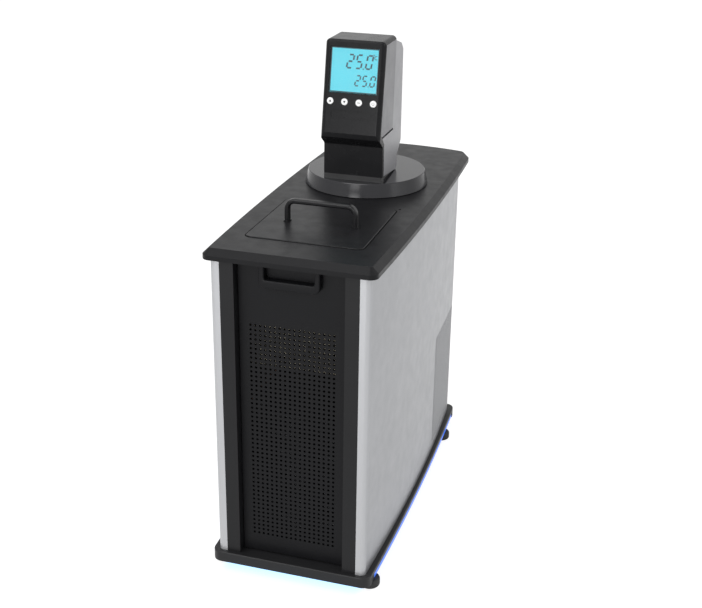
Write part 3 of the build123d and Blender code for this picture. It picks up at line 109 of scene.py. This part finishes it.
# Shapes

def add_piece(name, points, faces, material, body, sharp=35):
    """New mesh object from rows of points and faces, shaded smooth up to an angle in degrees."""
    mesh = bpy.data.meshes.new(name)
    mesh.from_pydata(np.asarray(points).tolist(), [], [list(map(int, face)) for face in faces])
    mesh.validate()
    mesh.polygons.foreach_set("use_smooth", [True] * len(mesh.polygons))
    mesh.set_sharp_from_angle(angle=math.radians(sharp))
    mesh.materials.append(material)
    piece = bpy.data.objects.new(name, mesh)
    bpy.context.scene.collection.objects.link(piece)
    if body:
        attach(piece, body)
    return piece


def merge(parts):
    """One point list and one face list from several (points, faces) pairs."""
    points, faces, start = [], [], 0
    for part_points, part_faces in parts:
        part_points = np.asarray(part_points, float)
        points.append(part_points)
        faces += [[index + start for index in face] for face in part_faces]
        start += len(part_points)
    return np.vstack(points), faces


def strip_faces(rows, columns, closed=False):
    """Quads of a grid of rows by columns, joined round its columns if closed."""
    last = columns if closed else columns - 1
    return [
        [row * columns + col, row * columns + (col + 1) % columns,
         (row + 1) * columns + (col + 1) % columns, (row + 1) * columns + col]
        for row in range(rows - 1) for col in range(last)
    ]


def face_point(across, slope, lift=0.0):
    """Point on the head's tilted face: across, up the slope, and out of the face."""
    across = np.asarray(across, float)
    slope = np.asarray(slope, float)
    return np.stack([
        across + 0 * slope,
        FACE_FOOT_Y + slope * math.sin(FACE_TILT) - lift * math.cos(FACE_TILT) + 0 * across,
        FACE_FOOT_Z + slope * math.cos(FACE_TILT) + lift * math.sin(FACE_TILT) + 0 * across,
    ], axis=-1)


def face_plate(outline, low, high):
    """Thin closed plate on the tilted face from a counter-clockwise outline in (across, slope)."""
    outline = np.asarray(outline, float)
    count = len(outline)
    bottom = face_point(outline[:, 0], outline[:, 1], low)
    top = face_point(outline[:, 0], outline[:, 1], high)
    faces = [[i, (i + 1) % count, count + (i + 1) % count, count + i] for i in range(count)]
    faces.append([count + i for i in range(count)])
    faces.append([count - 1 - i for i in range(count)])
    return np.vstack([bottom, top]), faces


def pierced_cell(middle_x, middle_z, half, radius, front, back):
    """One square of sheet with a round hole: both faces and the hole's wall, on 12 rays.

    A ray at angle a meets the square at half / max(|cos a|, |sin a|) and the hole at its radius.
    """
    angle = np.radians(45 + 30 * np.arange(12))
    square = half / np.maximum(np.abs(np.cos(angle)), np.abs(np.sin(angle)))
    rings = []
    for reach, y in ((square, front), (radius, front), (radius, back), (square, back)):
        rings.append(np.stack([
            middle_x + reach * np.cos(angle), np.full(12, y), middle_z + reach * np.sin(angle)], axis=1))
    faces = strip_faces(4, 12, closed=True)
    return np.vstack(rings), faces


def u_line(half_width, bottom, radius, top, steps=8):
    """U-shaped line in (x, z): down the left leg, round both corners and up the right leg."""
    left = [(-half_width, top)]
    for step in range(steps + 1):
        turn = math.pi / 2 * step / steps
        left.append((
            -half_width + radius * (1 - math.cos(turn)),
            bottom + radius * (1 - math.sin(turn)),
        ))
    return np.array(left + [(-x, z) for x, z in reversed(left)])


# Finishes

def new_material(name):
    """Node material with only its output and a Principled shader."""
    material = bpy.data.materials.new(name)
    material.use_nodes = True
    tree = material.node_tree
    tree.nodes.clear()
    output = tree.nodes.new("ShaderNodeOutputMaterial")
    shader = tree.nodes.new("ShaderNodeBsdfPrincipled")
    tree.links.new(shader.outputs["BSDF"], output.inputs["Surface"])
    return material, tree, shader


def grain(tree, scale, detail=3.0, stretch=(1, 1, 1)):
    """Noise on the object's own coordinates, stretched along its axes."""
    place = tree.nodes.new("ShaderNodeTexCoord")
    mapping = tree.nodes.new("ShaderNodeMapping")
    mapping.inputs["Scale"].default_value = stretch
    noise = tree.nodes.new("ShaderNodeTexNoise")
    noise.inputs["Scale"].default_value = scale
    noise.inputs["Detail"].default_value = detail
    tree.links.new(place.outputs["Object"], mapping.inputs["Vector"])
    tree.links.new(mapping.outputs["Vector"], noise.inputs["Vector"])
    return noise.outputs["Fac"]


def ranged(tree, value, low, high):
    """A 0 to 1 value spread between two ends."""
    spread = tree.nodes.new("ShaderNodeMapRange")
    spread.inputs["From Min"].default_value = 0.3
    spread.inputs["From Max"].default_value = 0.7
    spread.inputs["To Min"].default_value = low
    spread.inputs["To Max"].default_value = high
    tree.links.new(value, spread.inputs["Value"])
    return spread.outputs["Result"]


def finish(
        name, color, roughness, metallic=0.0, fine=1800.0, bump=0.08, vary=0.06,
        stretch=(1, 1, 1), gloss=0.5):
    """Moulded, painted or brushed surface: slow colour drift, uneven gloss and a fine grain."""
    material, tree, shader = new_material(name)
    drift = ranged(tree, grain(tree, 9.0), 1 - vary, 1 + vary)
    tint = tree.nodes.new("ShaderNodeMix")
    tint.data_type = "RGBA"
    tint.blend_type = "MULTIPLY"
    tint.inputs["Factor"].default_value = 1.0
    tint.inputs["A"].default_value = (*color, 1)
    tree.links.new(drift, tint.inputs["B"])
    tree.links.new(tint.outputs["Result"], shader.inputs["Base Color"])
    polish = ranged(tree, grain(tree, 60.0), roughness * 0.88, min(roughness * 1.12, 1.0))
    tree.links.new(polish, shader.inputs["Roughness"])
    shader.inputs["Metallic"].default_value = metallic
    shader.inputs["Specular IOR Level"].default_value = gloss
    relief = tree.nodes.new("ShaderNodeBump")
    relief.inputs["Strength"].default_value = bump
    relief.inputs["Distance"].default_value = 0.0004
    tree.links.new(grain(tree, fine, 2.0, stretch), relief.inputs["Height"])
    tree.links.new(relief.outputs["Normal"], shader.inputs["Normal"])
    return material


def glowing(name, color, strength, rim=(0.0, 0.0, 0.0)):
    """Lit plastic: emits its colour, a little uneven, over a glossy body."""
    material, tree, shader = new_material(name)
    shader.inputs["Base Color"].default_value = (*rim, 1)
    shader.inputs["Roughness"].default_value = 0.35
    shader.inputs["Emission Color"].default_value = (*color, 1)
    glow = ranged(tree, grain(tree, 25.0), strength * 0.97, strength * 1.03)
    tree.links.new(glow, shader.inputs["Emission Strength"])
    return material


def clear_window(name):
    """Thin clear plastic: mostly see-through, with a faint sheen."""
    material, tree, shader = new_material(name)
    shader.inputs["Base Color"].default_value = (0.8, 0.95, 1.0, 1)
    shader.inputs["Alpha"].default_value = 0.035
    tree.links.new(ranged(tree, grain(tree, 40.0), 0.08, 0.14), shader.inputs["Roughness"])
    return material


def pierced_paint(name, color, pitch, radius):
    """Painted sheet with rows of small round holes: dark and sunk where a hole is, the dark being painted
    shade inside the hole.

    Distance to the nearest point of a square net of the given pitch, in the panel's own plane.
    """
    material, tree, shader = new_material(name)
    place = tree.nodes.new("ShaderNodeTexCoord")
    split = tree.nodes.new("ShaderNodeSeparateXYZ")
    tree.links.new(place.outputs["Object"], split.inputs["Vector"])
    squares = []
    for axis in ("Y", "Z"):
        cycle = tree.nodes.new("ShaderNodeMath")
        cycle.operation = "PINGPONG"
        cycle.inputs[1].default_value = pitch / 2
        tree.links.new(split.outputs[axis], cycle.inputs[0])
        square = tree.nodes.new("ShaderNodeMath")
        square.operation = "POWER"
        square.inputs[1].default_value = 2.0
        tree.links.new(cycle.outputs[0], square.inputs[0])
        squares.append(square)
    total = tree.nodes.new("ShaderNodeMath")
    total.operation = "ADD"
    tree.links.new(squares[0].outputs[0], total.inputs[0])
    tree.links.new(squares[1].outputs[0], total.inputs[1])
    inside = tree.nodes.new("ShaderNodeMapRange")
    inside.inputs["From Min"].default_value = (radius * 0.85) ** 2
    inside.inputs["From Max"].default_value = (radius * 1.15) ** 2
    tree.links.new(total.outputs[0], inside.inputs["Value"])
    paint = tree.nodes.new("ShaderNodeMix")
    paint.data_type = "RGBA"
    # Painted shade: the near-black colour of the holes
    paint.inputs["A"].default_value = (0.07, 0.07, 0.075, 1)
    paint.inputs["B"].default_value = (*color, 1)
    tree.links.new(inside.outputs["Result"], paint.inputs["Factor"])
    tree.links.new(paint.outputs["Result"], shader.inputs["Base Color"])
    relief = tree.nodes.new("ShaderNodeBump")
    relief.inputs["Strength"].default_value = 0.6
    relief.inputs["Distance"].default_value = 0.001
    tree.links.new(inside.outputs["Result"], relief.inputs["Height"])
    tree.links.new(relief.outputs["Normal"], shader.inputs["Normal"])
    shader.inputs["Roughness"].default_value = 0.42
    shader.inputs["Metallic"].default_value = 0.35
    return material


def brushed_panel(name, color, lit_edge_color):
    """Brushed sheet whose rolled front edge is painted paler than its side, as painted light on the flange:
    the change runs along Y.
    """
    material = finish(name, color, 0.34, 0.5, fine=900, bump=0.05, vary=0.03, stretch=(1, 1, 0.04))
    tree = material.node_tree
    shader = next(node for node in tree.nodes if node.type == "BSDF_PRINCIPLED")
    place = tree.nodes.new("ShaderNodeTexCoord")
    split = tree.nodes.new("ShaderNodeSeparateXYZ")
    tree.links.new(place.outputs["Object"], split.inputs["Vector"])
    edge = tree.nodes.new("ShaderNodeMapRange")
    edge.inputs["From Min"].default_value = LIT_EDGE_BACK
    edge.inputs["From Max"].default_value = LIT_EDGE_FRONT
    tree.links.new(split.outputs["Y"], edge.inputs["Value"])
    paint = tree.nodes.new("ShaderNodeMix")
    paint.data_type = "RGBA"
    paint.inputs["B"].default_value = (*lit_edge_color, 1)
    tree.links.new(edge.outputs["Result"], paint.inputs["Factor"])
    tree.links.new(shader.inputs["Base Color"].links[0].from_socket, paint.inputs["A"])
    tree.links.new(paint.outputs["Result"], shader.inputs["Base Color"])
    return material


def dress_nodes(finishes):
    """Puts a finish on every CAD node by name."""
    for material, names in finishes:
        for name in names:
            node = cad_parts[name]
            for slot in node.material_slots:
                slot.material = material


# Settings and operators

class BathSettings(bpy.types.PropertyGroup):
    hole_radius: bpy.props.FloatProperty(name="Grille hole radius", default=1.7 * MM)
    hole_pitch: bpy.props.FloatProperty(name="Grille hole pitch", default=6.5 * MM)
    hole_columns: bpy.props.IntProperty(name="Grille columns", default=18)
    hole_rows: bpy.props.IntProperty(name="Grille rows", default=48)
    holes_bottom: bpy.props.FloatProperty(name="Lowest hole", default=56.5 * MM)
    vent_pitch: bpy.props.FloatProperty(name="Vent hole pitch", default=3.6 * MM)
    glow: bpy.props.FloatProperty(name="Light bar strength", default=1.0)
    camera_azimuth: bpy.props.FloatProperty(name="Camera azimuth", default=math.radians(16.669))
    camera_elevation: bpy.props.FloatProperty(name="Camera elevation", default=math.radians(22.853))
    camera_roll: bpy.props.FloatProperty(name="Camera roll", default=math.radians(0.829))
    camera_lens: bpy.props.FloatProperty(name="Camera lens", default=61.187)


class BATH_OT_finishes(bpy.types.Operator):
    """Gives each CAD node its finish"""
    bl_idname = "bath.finishes"
    bl_label = "Finishes"

    def execute(self, context):
        housing = finish("charcoal_moulding", (0.014, 0.014, 0.015), 0.42, bump=0.08, gloss=0.25)
        deck = finish("deck_moulding", (0.010, 0.010, 0.011), 0.36, bump=0.08, gloss=0.12)
        lid = finish("lid_moulding", (0.009, 0.009, 0.010), 0.36, bump=0.08, gloss=0.15)
        head_black = finish("head_black", (0.012, 0.012, 0.013), 0.26, bump=0.012, gloss=0.10)
        handle_black = finish("handle_black", (0.009, 0.009, 0.010), 0.30, bump=0.03, gloss=0.24)
        post_black = finish("post_paint", (0.010, 0.010, 0.011), 0.40, bump=0.08, gloss=0.20)
        collar = finish("collar_black", (0.022, 0.022, 0.023), 0.38)
        disc = finish("disc_moulding", (0.018, 0.018, 0.021), 0.20, bump=0.010, gloss=0.35)
        silver = finish("side_silver", (0.28, 0.28, 0.295), 0.34, 0.25, bump=0.04)
        cheek = finish("cheek_grey", (0.165, 0.165, 0.175), 0.36, 0.25, bump=0.04)
        # The paler second colour is painted light on the panels' front flange
        panel = brushed_panel("panel_silver", (0.315, 0.32, 0.335), (0.455, 0.46, 0.475))
        steel = finish("drawn_steel", (0.60, 0.60, 0.59), 0.28, 1.0, fine=1200, stretch=(1, 1, 0.05))
        copper = finish("copper_tube", (0.72, 0.36, 0.22), 0.30, 1.0, vary=0.12)
        # The condenser fins are darkened below bare aluminium as painted shade behind the grille
        aluminium_painted_shade = finish("condenser_fins", (0.20, 0.205, 0.21), 0.55, 0.6)
        shell = finish("compressor_paint", (0.015, 0.015, 0.016), 0.35)
        rubber = finish("foot_rubber", (0.012, 0.012, 0.012), 0.75, bump=0.2)
        foam = finish("foam_block", (0.72, 0.66, 0.50), 0.9, fine=500, bump=0.5, vary=0.10)
        key = finish("key_white", (0.86, 0.86, 0.86), 0.40)
        board = finish("board_green", (0.02, 0.14, 0.06), 0.45, vary=0.15)
        pale = finish("pale_plastic", (0.66, 0.67, 0.65), 0.45)
        figures = finish("figure_teal", (0.004, 0.035, 0.055), 0.60)
        bars = glowing("light_bar_blue", (0.02, 0.14, 0.80), context.scene.bath.glow, (0.02, 0.06, 0.25))
        screen = glowing("screen_cyan", (0.05, 0.64, 0.79), 0.97)
        window = clear_window("clear_window")
        dress_nodes([
            (housing, ["base_tray", "front_grille"]),
            (deck, ["deck"]),
            (lid, ["lid"]),
            (head_black, ["head_front"]),
            (handle_black, ["lid_handle"]),
            (post_black, [
                "front_post_left", "front_post_right", "rear_panel", "power_box", "fan_shroud"]),
            (collar, [
                "head_collar", "head_rear", "swivel_ring", "inlet_socket", "switch_frame", "power_switch"]),
            (disc, ["disc"]),
            (silver, ["head_side_left", "head_side_right"]),
            (cheek, ["head_cheek_left", "head_cheek_right"]),
            (panel, ["side_panel_left", "side_panel_right"]),
            (steel, [
                "reservoir", "handle_screws", "pump_column", "pump_rotor", "heater_coil", "probe_rods"]),
            (copper, ["evaporator_coil", "suction_pipe", "liquid_pipe", "discharge_pipe"]),
            (aluminium_painted_shade, ["condenser"]),
            (shell, ["compressor", "pump_motor", "fan_motor", "fan_rotor"]),
            (rubber, [
                "foot_back_left", "foot_back_right", "foot_front_left", "foot_front_right",
                "compressor_mounts"]),
            (foam, ["foam"]),
            (key, ["key_up", "key_down", "key_enter", "key_power"]),
            (board, ["circuit_board"]),
            (pale, ["port_plugs", "level_float", "drain_pipe", "safety_dial"]),
            (figures, ["display_figures"]),
            (bars, ["light_bar_left", "light_bar_right", "light_bar_front"]),
            (screen, ["display_module"]),
            (window, ["display_window"]),
        ])
        return {"FINISHED"}


class BATH_OT_grille(bpy.types.Operator):
    """Front grille with its field of round holes and the pull moulded on it"""
    bl_idname = "bath.grille"
    bl_label = "Front grille"

    def execute(self, context):
        settings = context.scene.bath
        low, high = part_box("front_grille")
        left, right, back, bottom, top = low[0], high[0], high[1], low[2], high[2]
        front = back - SHEET
        half = settings.hole_pitch / 2
        parts = []
        for column in range(settings.hole_columns):
            x = (column - (settings.hole_columns - 1) / 2) * settings.hole_pitch
            for row in range(settings.hole_rows):
                z = settings.holes_bottom + row * settings.hole_pitch
                parts.append(pierced_cell(x, z, half, settings.hole_radius, front, back))
        field_x = settings.hole_columns * half
        field_low = settings.holes_bottom - half
        field_high = settings.holes_bottom + (settings.hole_rows - 0.5) * settings.hole_pitch
        soft = SHEET_SOFT_EDGE
        rings = []
        for x_low, x_high, z_low, z_high, y in (
            (-field_x, field_x, field_low, field_high, front),
            (left + soft, right - soft, bottom + soft, top - soft, front),
            (left, right, bottom, top, front + soft),
            (left, right, bottom, top, back),
            (-field_x, field_x, field_low, field_high, back),
        ):
            rings.append([(x_low, y, z_low), (x_high, y, z_low), (x_high, y, z_high), (x_low, y, z_high)])
        faces = [face[::-1] for face in strip_faces(len(rings), 4, closed=True)]
        parts.append((np.array(rings).reshape(-1, 3), faces))
        material = finish("grille_paint", (0.005, 0.005, 0.006), 0.42, bump=0.06, gloss=0.14)
        points, faces = merge(parts)
        piece = add_piece("grille_sheet", points, faces, material, "cabinet")
        pull = self.pull(front, low[1], top, material)
        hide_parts("front_grille")
        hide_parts("front_grille")
        return {"FINISHED"}

    def pull(self, seat, proud, top, material):
        """U-shaped rim: outer and inner U lines joined over a rounded edge of radius r.

        The edge's inset is r(1 - cos a) and its rise r sin a, for a from 0 to a right angle.
        """
        radius = PULL_ROUND
        rise = seat - proud
        rows = []
        turns = [math.pi / 2 * step / 5 for step in range(6)]
        for turn in turns:
            inset = radius * (1 - math.cos(turn))
            line = u_line(
                PULL_OUTER_HALF - inset, PULL_OUTER_FOOT + inset, PULL_OUTER_CORNER - inset, top)
            rows.append((line, rise - radius + radius * math.sin(turn)))
        rows.insert(0, (u_line(PULL_OUTER_HALF, PULL_OUTER_FOOT, PULL_OUTER_CORNER, top), 0.0))
        for turn in reversed(turns):
            inset = radius * (1 - math.cos(turn))
            line = u_line(
                PULL_INNER_HALF + inset, PULL_INNER_FOOT - inset, PULL_INNER_CORNER + inset, top)
            rows.append((line, rise - radius + radius * math.sin(turn)))
        rows.append((u_line(PULL_INNER_HALF, PULL_INNER_FOOT, PULL_INNER_CORNER, top), 0.0))
        count = len(rows[0][0])
        points = [(x, seat - height, z) for line, height in rows for x, z in line]
        faces = [face[::-1] for face in strip_faces(len(rows), count)]
        faces.append([row * count for row in range(len(rows))])
        faces.append([row * count + count - 1 for row in reversed(range(len(rows)))])
        return add_piece("grille_pull", points, faces, material, "cabinet", 40)


class BATH_OT_vents(bpy.types.Operator):
    """Vent fields on both side panels: thin sheets with fine holes as painted shade in the colour and as
    bump
    """
    bl_idname = "bath.vents"
    bl_label = "Side vents"

    def execute(self, context):
        pitch = context.scene.bath.vent_pitch
        material = pierced_paint("vent_paint_and_hole_shade", (0.28, 0.285, 0.30), pitch, VENT_HOLE_RADIUS)
        across = np.linspace(*VENT_Y, VENT_COLUMNS)
        reach = np.sqrt(CABINET_BOW ** 2 - (across - BOW_CENTER) ** 2)
        bow = CABINET_HALF + VENT_LIFT - CABINET_BOW + reach
        for side, word in ((-1, "left"), (1, "right")):
            low, high = (
                np.stack([side * bow, across, np.full(VENT_COLUMNS, z)], axis=1) for z in VENT_Z)
            faces = strip_faces(2, VENT_COLUMNS)
            if side < 0:
                faces = [face[::-1] for face in faces]
            piece = add_piece(f"vent_{word}", np.vstack([low, high]), faces, material, "cabinet")
        return {"FINISHED"}


class BATH_OT_lid_shadow_line(bpy.types.Operator):
    """Painted shadow line round the lid: a dark rounded rectangle with arcs about four centres"""
    bl_idname = "bath.lid_seam"
    bl_label = "Lid shadow line"

    def execute(self, context):
        low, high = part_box("lid")
        half_x = (high[0] - low[0]) / 2
        half_y = (high[1] - low[1]) / 2
        middle_y = (high[1] + low[1]) / 2
        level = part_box("deck")[1][2]
        rows = []
        for grow, rise in SHADOW_LINE_ROWS:
            radius = LID_CORNER + grow
            row = []
            for quarter, (sx, sy) in enumerate(((1, 1), (-1, 1), (-1, -1), (1, -1))):
                for step in range(9):
                    turn = math.pi / 2 * (quarter + step / 8)
                    row.append((
                        sx * (half_x - LID_CORNER) + radius * math.cos(turn),
                        middle_y + sy * (half_y - LID_CORNER) + radius * math.sin(turn),
                        level + rise))
            rows += row
        faces = [face[::-1] for face in strip_faces(3, 36, closed=True)]
        # Near-black paint for the line round the lid: painted shade, wider than the real gap
        lid_shadow_paint = finish("lid_shadow_black", (0.002, 0.002, 0.002), 0.8, gloss=0.05)
        add_piece("lid_seam", rows, faces, lid_shadow_paint, "cabinet")
        return {"FINISHED"}


class BATH_OT_face_marks(bpy.types.Operator):
    """Degree sign and unit on the screen, its dark border, and the marks on the keys"""
    bl_idname = "bath.face_marks"
    bl_label = "Face marks"

    def execute(self, context):
        teal = finish("mark_teal", (0.004, 0.035, 0.055), 0.60)
        dark = finish("key_mark", (0.015, 0.015, 0.016), 0.50)
        grey = finish("key_mark_grey", (0.25, 0.25, 0.26), 0.50)
        depth = -SCREEN_DEPTH
        parts = [self.arc(26.2 * MM, 103.0 * MM, 0.9 * MM, 0.55 * MM, 0, 360, depth)]
        parts.append(self.arc(29.4 * MM, 99.6 * MM, 2.2 * MM, 0.9 * MM, 50, 310, depth))
        add_piece("unit_mark", *merge(parts), teal, "head")
        border = self.frame(33.0 * MM, 29.2 * MM, 0.9 * MM, 81.5 * MM, depth)
        add_piece("screen_border", *border, teal, "head")
        places = [(index - 1.5) * KEY_PITCH for index in range(4)]
        size = 1.9 * MM
        up = [(-size, -size * 0.7), (size, -size * 0.7), (0, size)]
        down = [(-size, size * 0.7), (0, -size), (size, size * 0.7)]
        for name, x, outline in (("key_up", places[0], up), ("key_down", places[1], down)):
            outline = [(x + px, KEY_LINE + pz) for px, pz in outline]
            plate = face_plate(outline, KEY_PROUD, KEY_PROUD + KEY_MARK_HEIGHT)
            add_piece(name + "_mark", *plate, dark, name)
        thick = 0.5 * MM
        bar = [(places[2] - size, KEY_LINE - thick), (places[2] + size, KEY_LINE - thick),
               (places[2] + size, KEY_LINE + thick), (places[2] - size, KEY_LINE + thick)]
        plate = face_plate(bar, KEY_PROUD, KEY_PROUD + KEY_MARK_HEIGHT)
        add_piece("key_enter_mark", *plate, grey, "key_enter")
        ring = self.arc(places[3], KEY_LINE, 1.6 * MM, 0.5 * MM, 120, 420, KEY_PROUD)
        add_piece("key_power_mark", *ring, grey, "key_power")
        return {"FINISHED"}

    def arc(self, x, slope, radius, width, start, end, lift):
        """Flat bow of even width: points at radius +- width / 2 from the start to the end angle."""
        angle = np.radians(np.linspace(start, end, 25))
        points = np.array([
            (x + reach * math.cos(a), slope + reach * math.sin(a))
            for reach in (radius + width / 2, radius - width / 2) for a in angle])
        bottom = face_point(points[:, 0], points[:, 1], lift)
        top = face_point(points[:, 0], points[:, 1], lift + MARK_HEIGHT)
        count = len(angle)
        faces = []
        for i in range(count - 1):
            faces.append([2 * count + i, 2 * count + i + 1, 3 * count + i + 1, 3 * count + i][::-1])
            faces.append([i, i + 1, 2 * count + i + 1, 2 * count + i])
            faces.append([count + i + 1, count + i, 3 * count + i, 3 * count + i + 1])
        return np.vstack([bottom, top]), faces

    def frame(self, half_x, half_s, width, middle, lift):
        """Thin rectangular frame on the screen."""
        corners = np.array([(-1, -1), (1, -1), (1, 1), (-1, 1)])
        outer = corners * [half_x, half_s] + [0, middle]
        inner = corners * [half_x - width, half_s - width] + [0, middle]
        rows = [
            face_point(outer[:, 0], outer[:, 1], lift),
            face_point(outer[:, 0], outer[:, 1], lift + MARK_HEIGHT),
            face_point(inner[:, 0], inner[:, 1], lift + MARK_HEIGHT),
            face_point(inner[:, 0], inner[:, 1], lift)]
        return np.vstack(rows), strip_faces(4, 4, closed=True)


class BATH_OT_stage(bpy.types.Operator):
    """White floor, lights, world and camera"""
    bl_idname = "bath.stage"
    bl_label = "Stage"

    def execute(self, context):
        scene = context.scene
        self.floor()
        self.world(scene)
        self.lamp("key_lamp", (-1.3, -1.9, 1.9), (0, 0, 0.35), 1.4, 30)
        self.lamp("side_lamp", (2.4, -0.3, 1.7), (0, 0, 0.25), 1.8, 26)
        self.lamp("front_lamp", (-0.25, -2.6, 0.55), (0, 0, 0.4), 0.8, 17)
        self.lamp("top_lamp", (-0.3, -0.5, 2.4), (0, 0, 0.4), 0.9, 10)
        self.camera(scene)
        scene.view_settings.view_transform = "Standard"
        return {"FINISHED"}

    def floor(self):
        """Floor that looks white but keeps part of the shadow, with a painted pool of blue light before the
        tray.
        """
        material, tree, shader = new_material("floor_white")
        shader.inputs["Base Color"].default_value = (0.34, 0.34, 0.34, 1)
        shader.inputs["Roughness"].default_value = 0.9
        strength = tree.nodes.new("ShaderNodeMath")
        strength.operation = "MULTIPLY"
        strength.inputs[1].default_value = FLOOR_SEEN
        tree.links.new(self.seen_rays(tree), strength.inputs[0])
        tree.links.new(self.painted_glow(tree), shader.inputs["Emission Color"])
        tree.links.new(strength.outputs[0], shader.inputs["Emission Strength"])
        half = FLOOR_HALF
        points = [(-half, -half, 0), (half, -half, 0), (half, half, 0), (-half, half, 0)]
        add_piece("floor", points, [(0, 1, 2, 3)], material, None)

    def seen_rays(self, tree):
        """1 where the camera, a gloss or a clear part sees the background, 0 where it only gives light."""
        path = tree.nodes.new("ShaderNodeLightPath")
        value = path.outputs["Is Camera Ray"]
        for ray in ("Is Glossy Ray", "Is Transmission Ray"):
            larger = tree.nodes.new("ShaderNodeMath")
            larger.operation = "MAXIMUM"
            tree.links.new(value, larger.inputs[0])
            tree.links.new(path.outputs[ray], larger.inputs[1])
            value = larger.outputs[0]
        return value

    def painted_glow(self, tree):
        """Painted blue light on the floor: full under the tray's front edge, fading within a few
        centimetres of it.

        The distance outside a box of half sizes h is length(max(|p| - h, 0)).
        """
        place = tree.nodes.new("ShaderNodeTexCoord")
        parts = []
        steps = (("ABSOLUTE", None), ("SUBTRACT", PAINTED_GLOW_HALF), ("MAXIMUM", (0, 0, 0)), ("LENGTH", None))
        for operation, value in steps:
            step = tree.nodes.new("ShaderNodeVectorMath")
            step.operation = operation
            if value is not None:
                step.inputs[1].default_value = value
            if parts:
                tree.links.new(parts[-1].outputs["Vector"], step.inputs[0])
            else:
                shift = tree.nodes.new("ShaderNodeVectorMath")
                shift.operation = "ADD"
                shift.inputs[1].default_value = (0, -PAINTED_GLOW_CENTRE_Y, 0)
                tree.links.new(place.outputs["Object"], shift.inputs[0])
                tree.links.new(shift.outputs["Vector"], step.inputs[0])
            parts.append(step)
        fade = tree.nodes.new("ShaderNodeMapRange")
        fade.interpolation_type = "SMOOTHSTEP"
        fade.inputs["From Min"].default_value = 0.0
        fade.inputs["From Max"].default_value = PAINTED_GLOW_REACH
        tree.links.new(parts[-1].outputs["Value"], fade.inputs["Value"])
        tint = tree.nodes.new("ShaderNodeMix")
        tint.data_type = "RGBA"
        tint.inputs["A"].default_value = PAINTED_GLOW_TINT
        tint.inputs["B"].default_value = (1, 1, 1, 1)
        tree.links.new(fade.outputs["Result"], tint.inputs["Factor"])
        return tint.outputs["Result"]

    def world(self, scene):
        """White where the camera, a gloss or a clear part sees it, plain grey as light."""
        world = bpy.data.worlds.new("white_room")
        scene.world = world
        world.use_nodes = True
        tree = world.node_tree
        background = tree.nodes["Background"]
        background.inputs["Color"].default_value = (1, 1, 1, 1)
        seen = tree.nodes.new("ShaderNodeMapRange")
        seen.inputs["To Min"].default_value = WORLD_AS_LIGHT
        seen.inputs["To Max"].default_value = 1.0
        tree.links.new(self.seen_rays(tree), seen.inputs["Value"])
        tree.links.new(seen.outputs["Result"], background.inputs["Strength"])

    def lamp(self, name, place, target, size, power):
        """Square soft lamp that looks at a target."""
        data = bpy.data.lights.new(name, "AREA")
        data.size = size
        data.energy = power
        lamp = bpy.data.objects.new(name, data)
        bpy.context.scene.collection.objects.link(lamp)
        lamp.location = place
        aim = np.array(target) - np.array(place)
        lamp.rotation_euler = (
            math.acos(-aim[2] / np.linalg.norm(aim)), 0, math.atan2(aim[1], aim[0]) - math.pi / 2)

    def camera(self, scene):
        """Camera at the photograph's angle, from the azimuth, elevation, roll and place fitted to it."""
        settings = scene.bath
        data = bpy.data.cameras.new("camera")
        data.sensor_width = 36
        data.lens = settings.camera_lens
        data.clip_end = 50
        camera = bpy.data.objects.new("camera", data)
        scene.collection.objects.link(camera)
        camera.location = CAMERA_PLACE
        camera.rotation_mode = "XYZ"
        az, el, roll = settings.camera_azimuth, settings.camera_elevation, settings.camera_roll
        right = np.array([math.cos(az), math.sin(az), 0])
        back = np.array([math.sin(az) * math.cos(el), -math.cos(az) * math.cos(el), math.sin(el)])
        up = np.cross(back, right)
        rolled_right = math.cos(roll) * right + math.sin(roll) * up
        rolled_up = np.cross(back, rolled_right)
        axes = np.column_stack([rolled_right, rolled_up, back])
        camera.rotation_euler = Matrix(axes.tolist()).to_euler("XYZ")
        scene.camera = camera


class BATH_PT_panel(bpy.types.Panel):
    bl_label = "Refrigerated Bath"
    bl_idname = "BATH_PT_panel"
    bl_space_type = "VIEW_3D"
    bl_region_type = "UI"
    bl_category = "Bath"

    def draw(self, context):
        for name in ("hole_radius", "hole_pitch", "vent_pitch", "glow", "camera_lens"):
            self.layout.prop(context.scene.bath, name)
        for operator in OPERATORS:
            self.layout.operator(operator.bl_idname)


OPERATORS = (
    BATH_OT_finishes, BATH_OT_grille, BATH_OT_vents, BATH_OT_lid_shadow_line, BATH_OT_face_marks, BATH_OT_stage)
CLASSES = (BathSettings, *OPERATORS, BATH_PT_panel)


def register():
    for cls in CLASSES:
        bpy.utils.register_class(cls)
    bpy.types.Scene.bath = bpy.props.PointerProperty(type=BathSettings)


def unregister():
    del bpy.types.Scene.bath
    for cls in reversed(CLASSES):
        bpy.utils.unregister_class(cls)


def main():
    register()
    bpy.ops.bath.finishes()
    bpy.ops.bath.grille()
    bpy.ops.bath.vents()
    bpy.ops.bath.lid_seam()
    bpy.ops.bath.face_marks()
    bpy.ops.bath.stage()


if __name__ == "__main__":
    main()
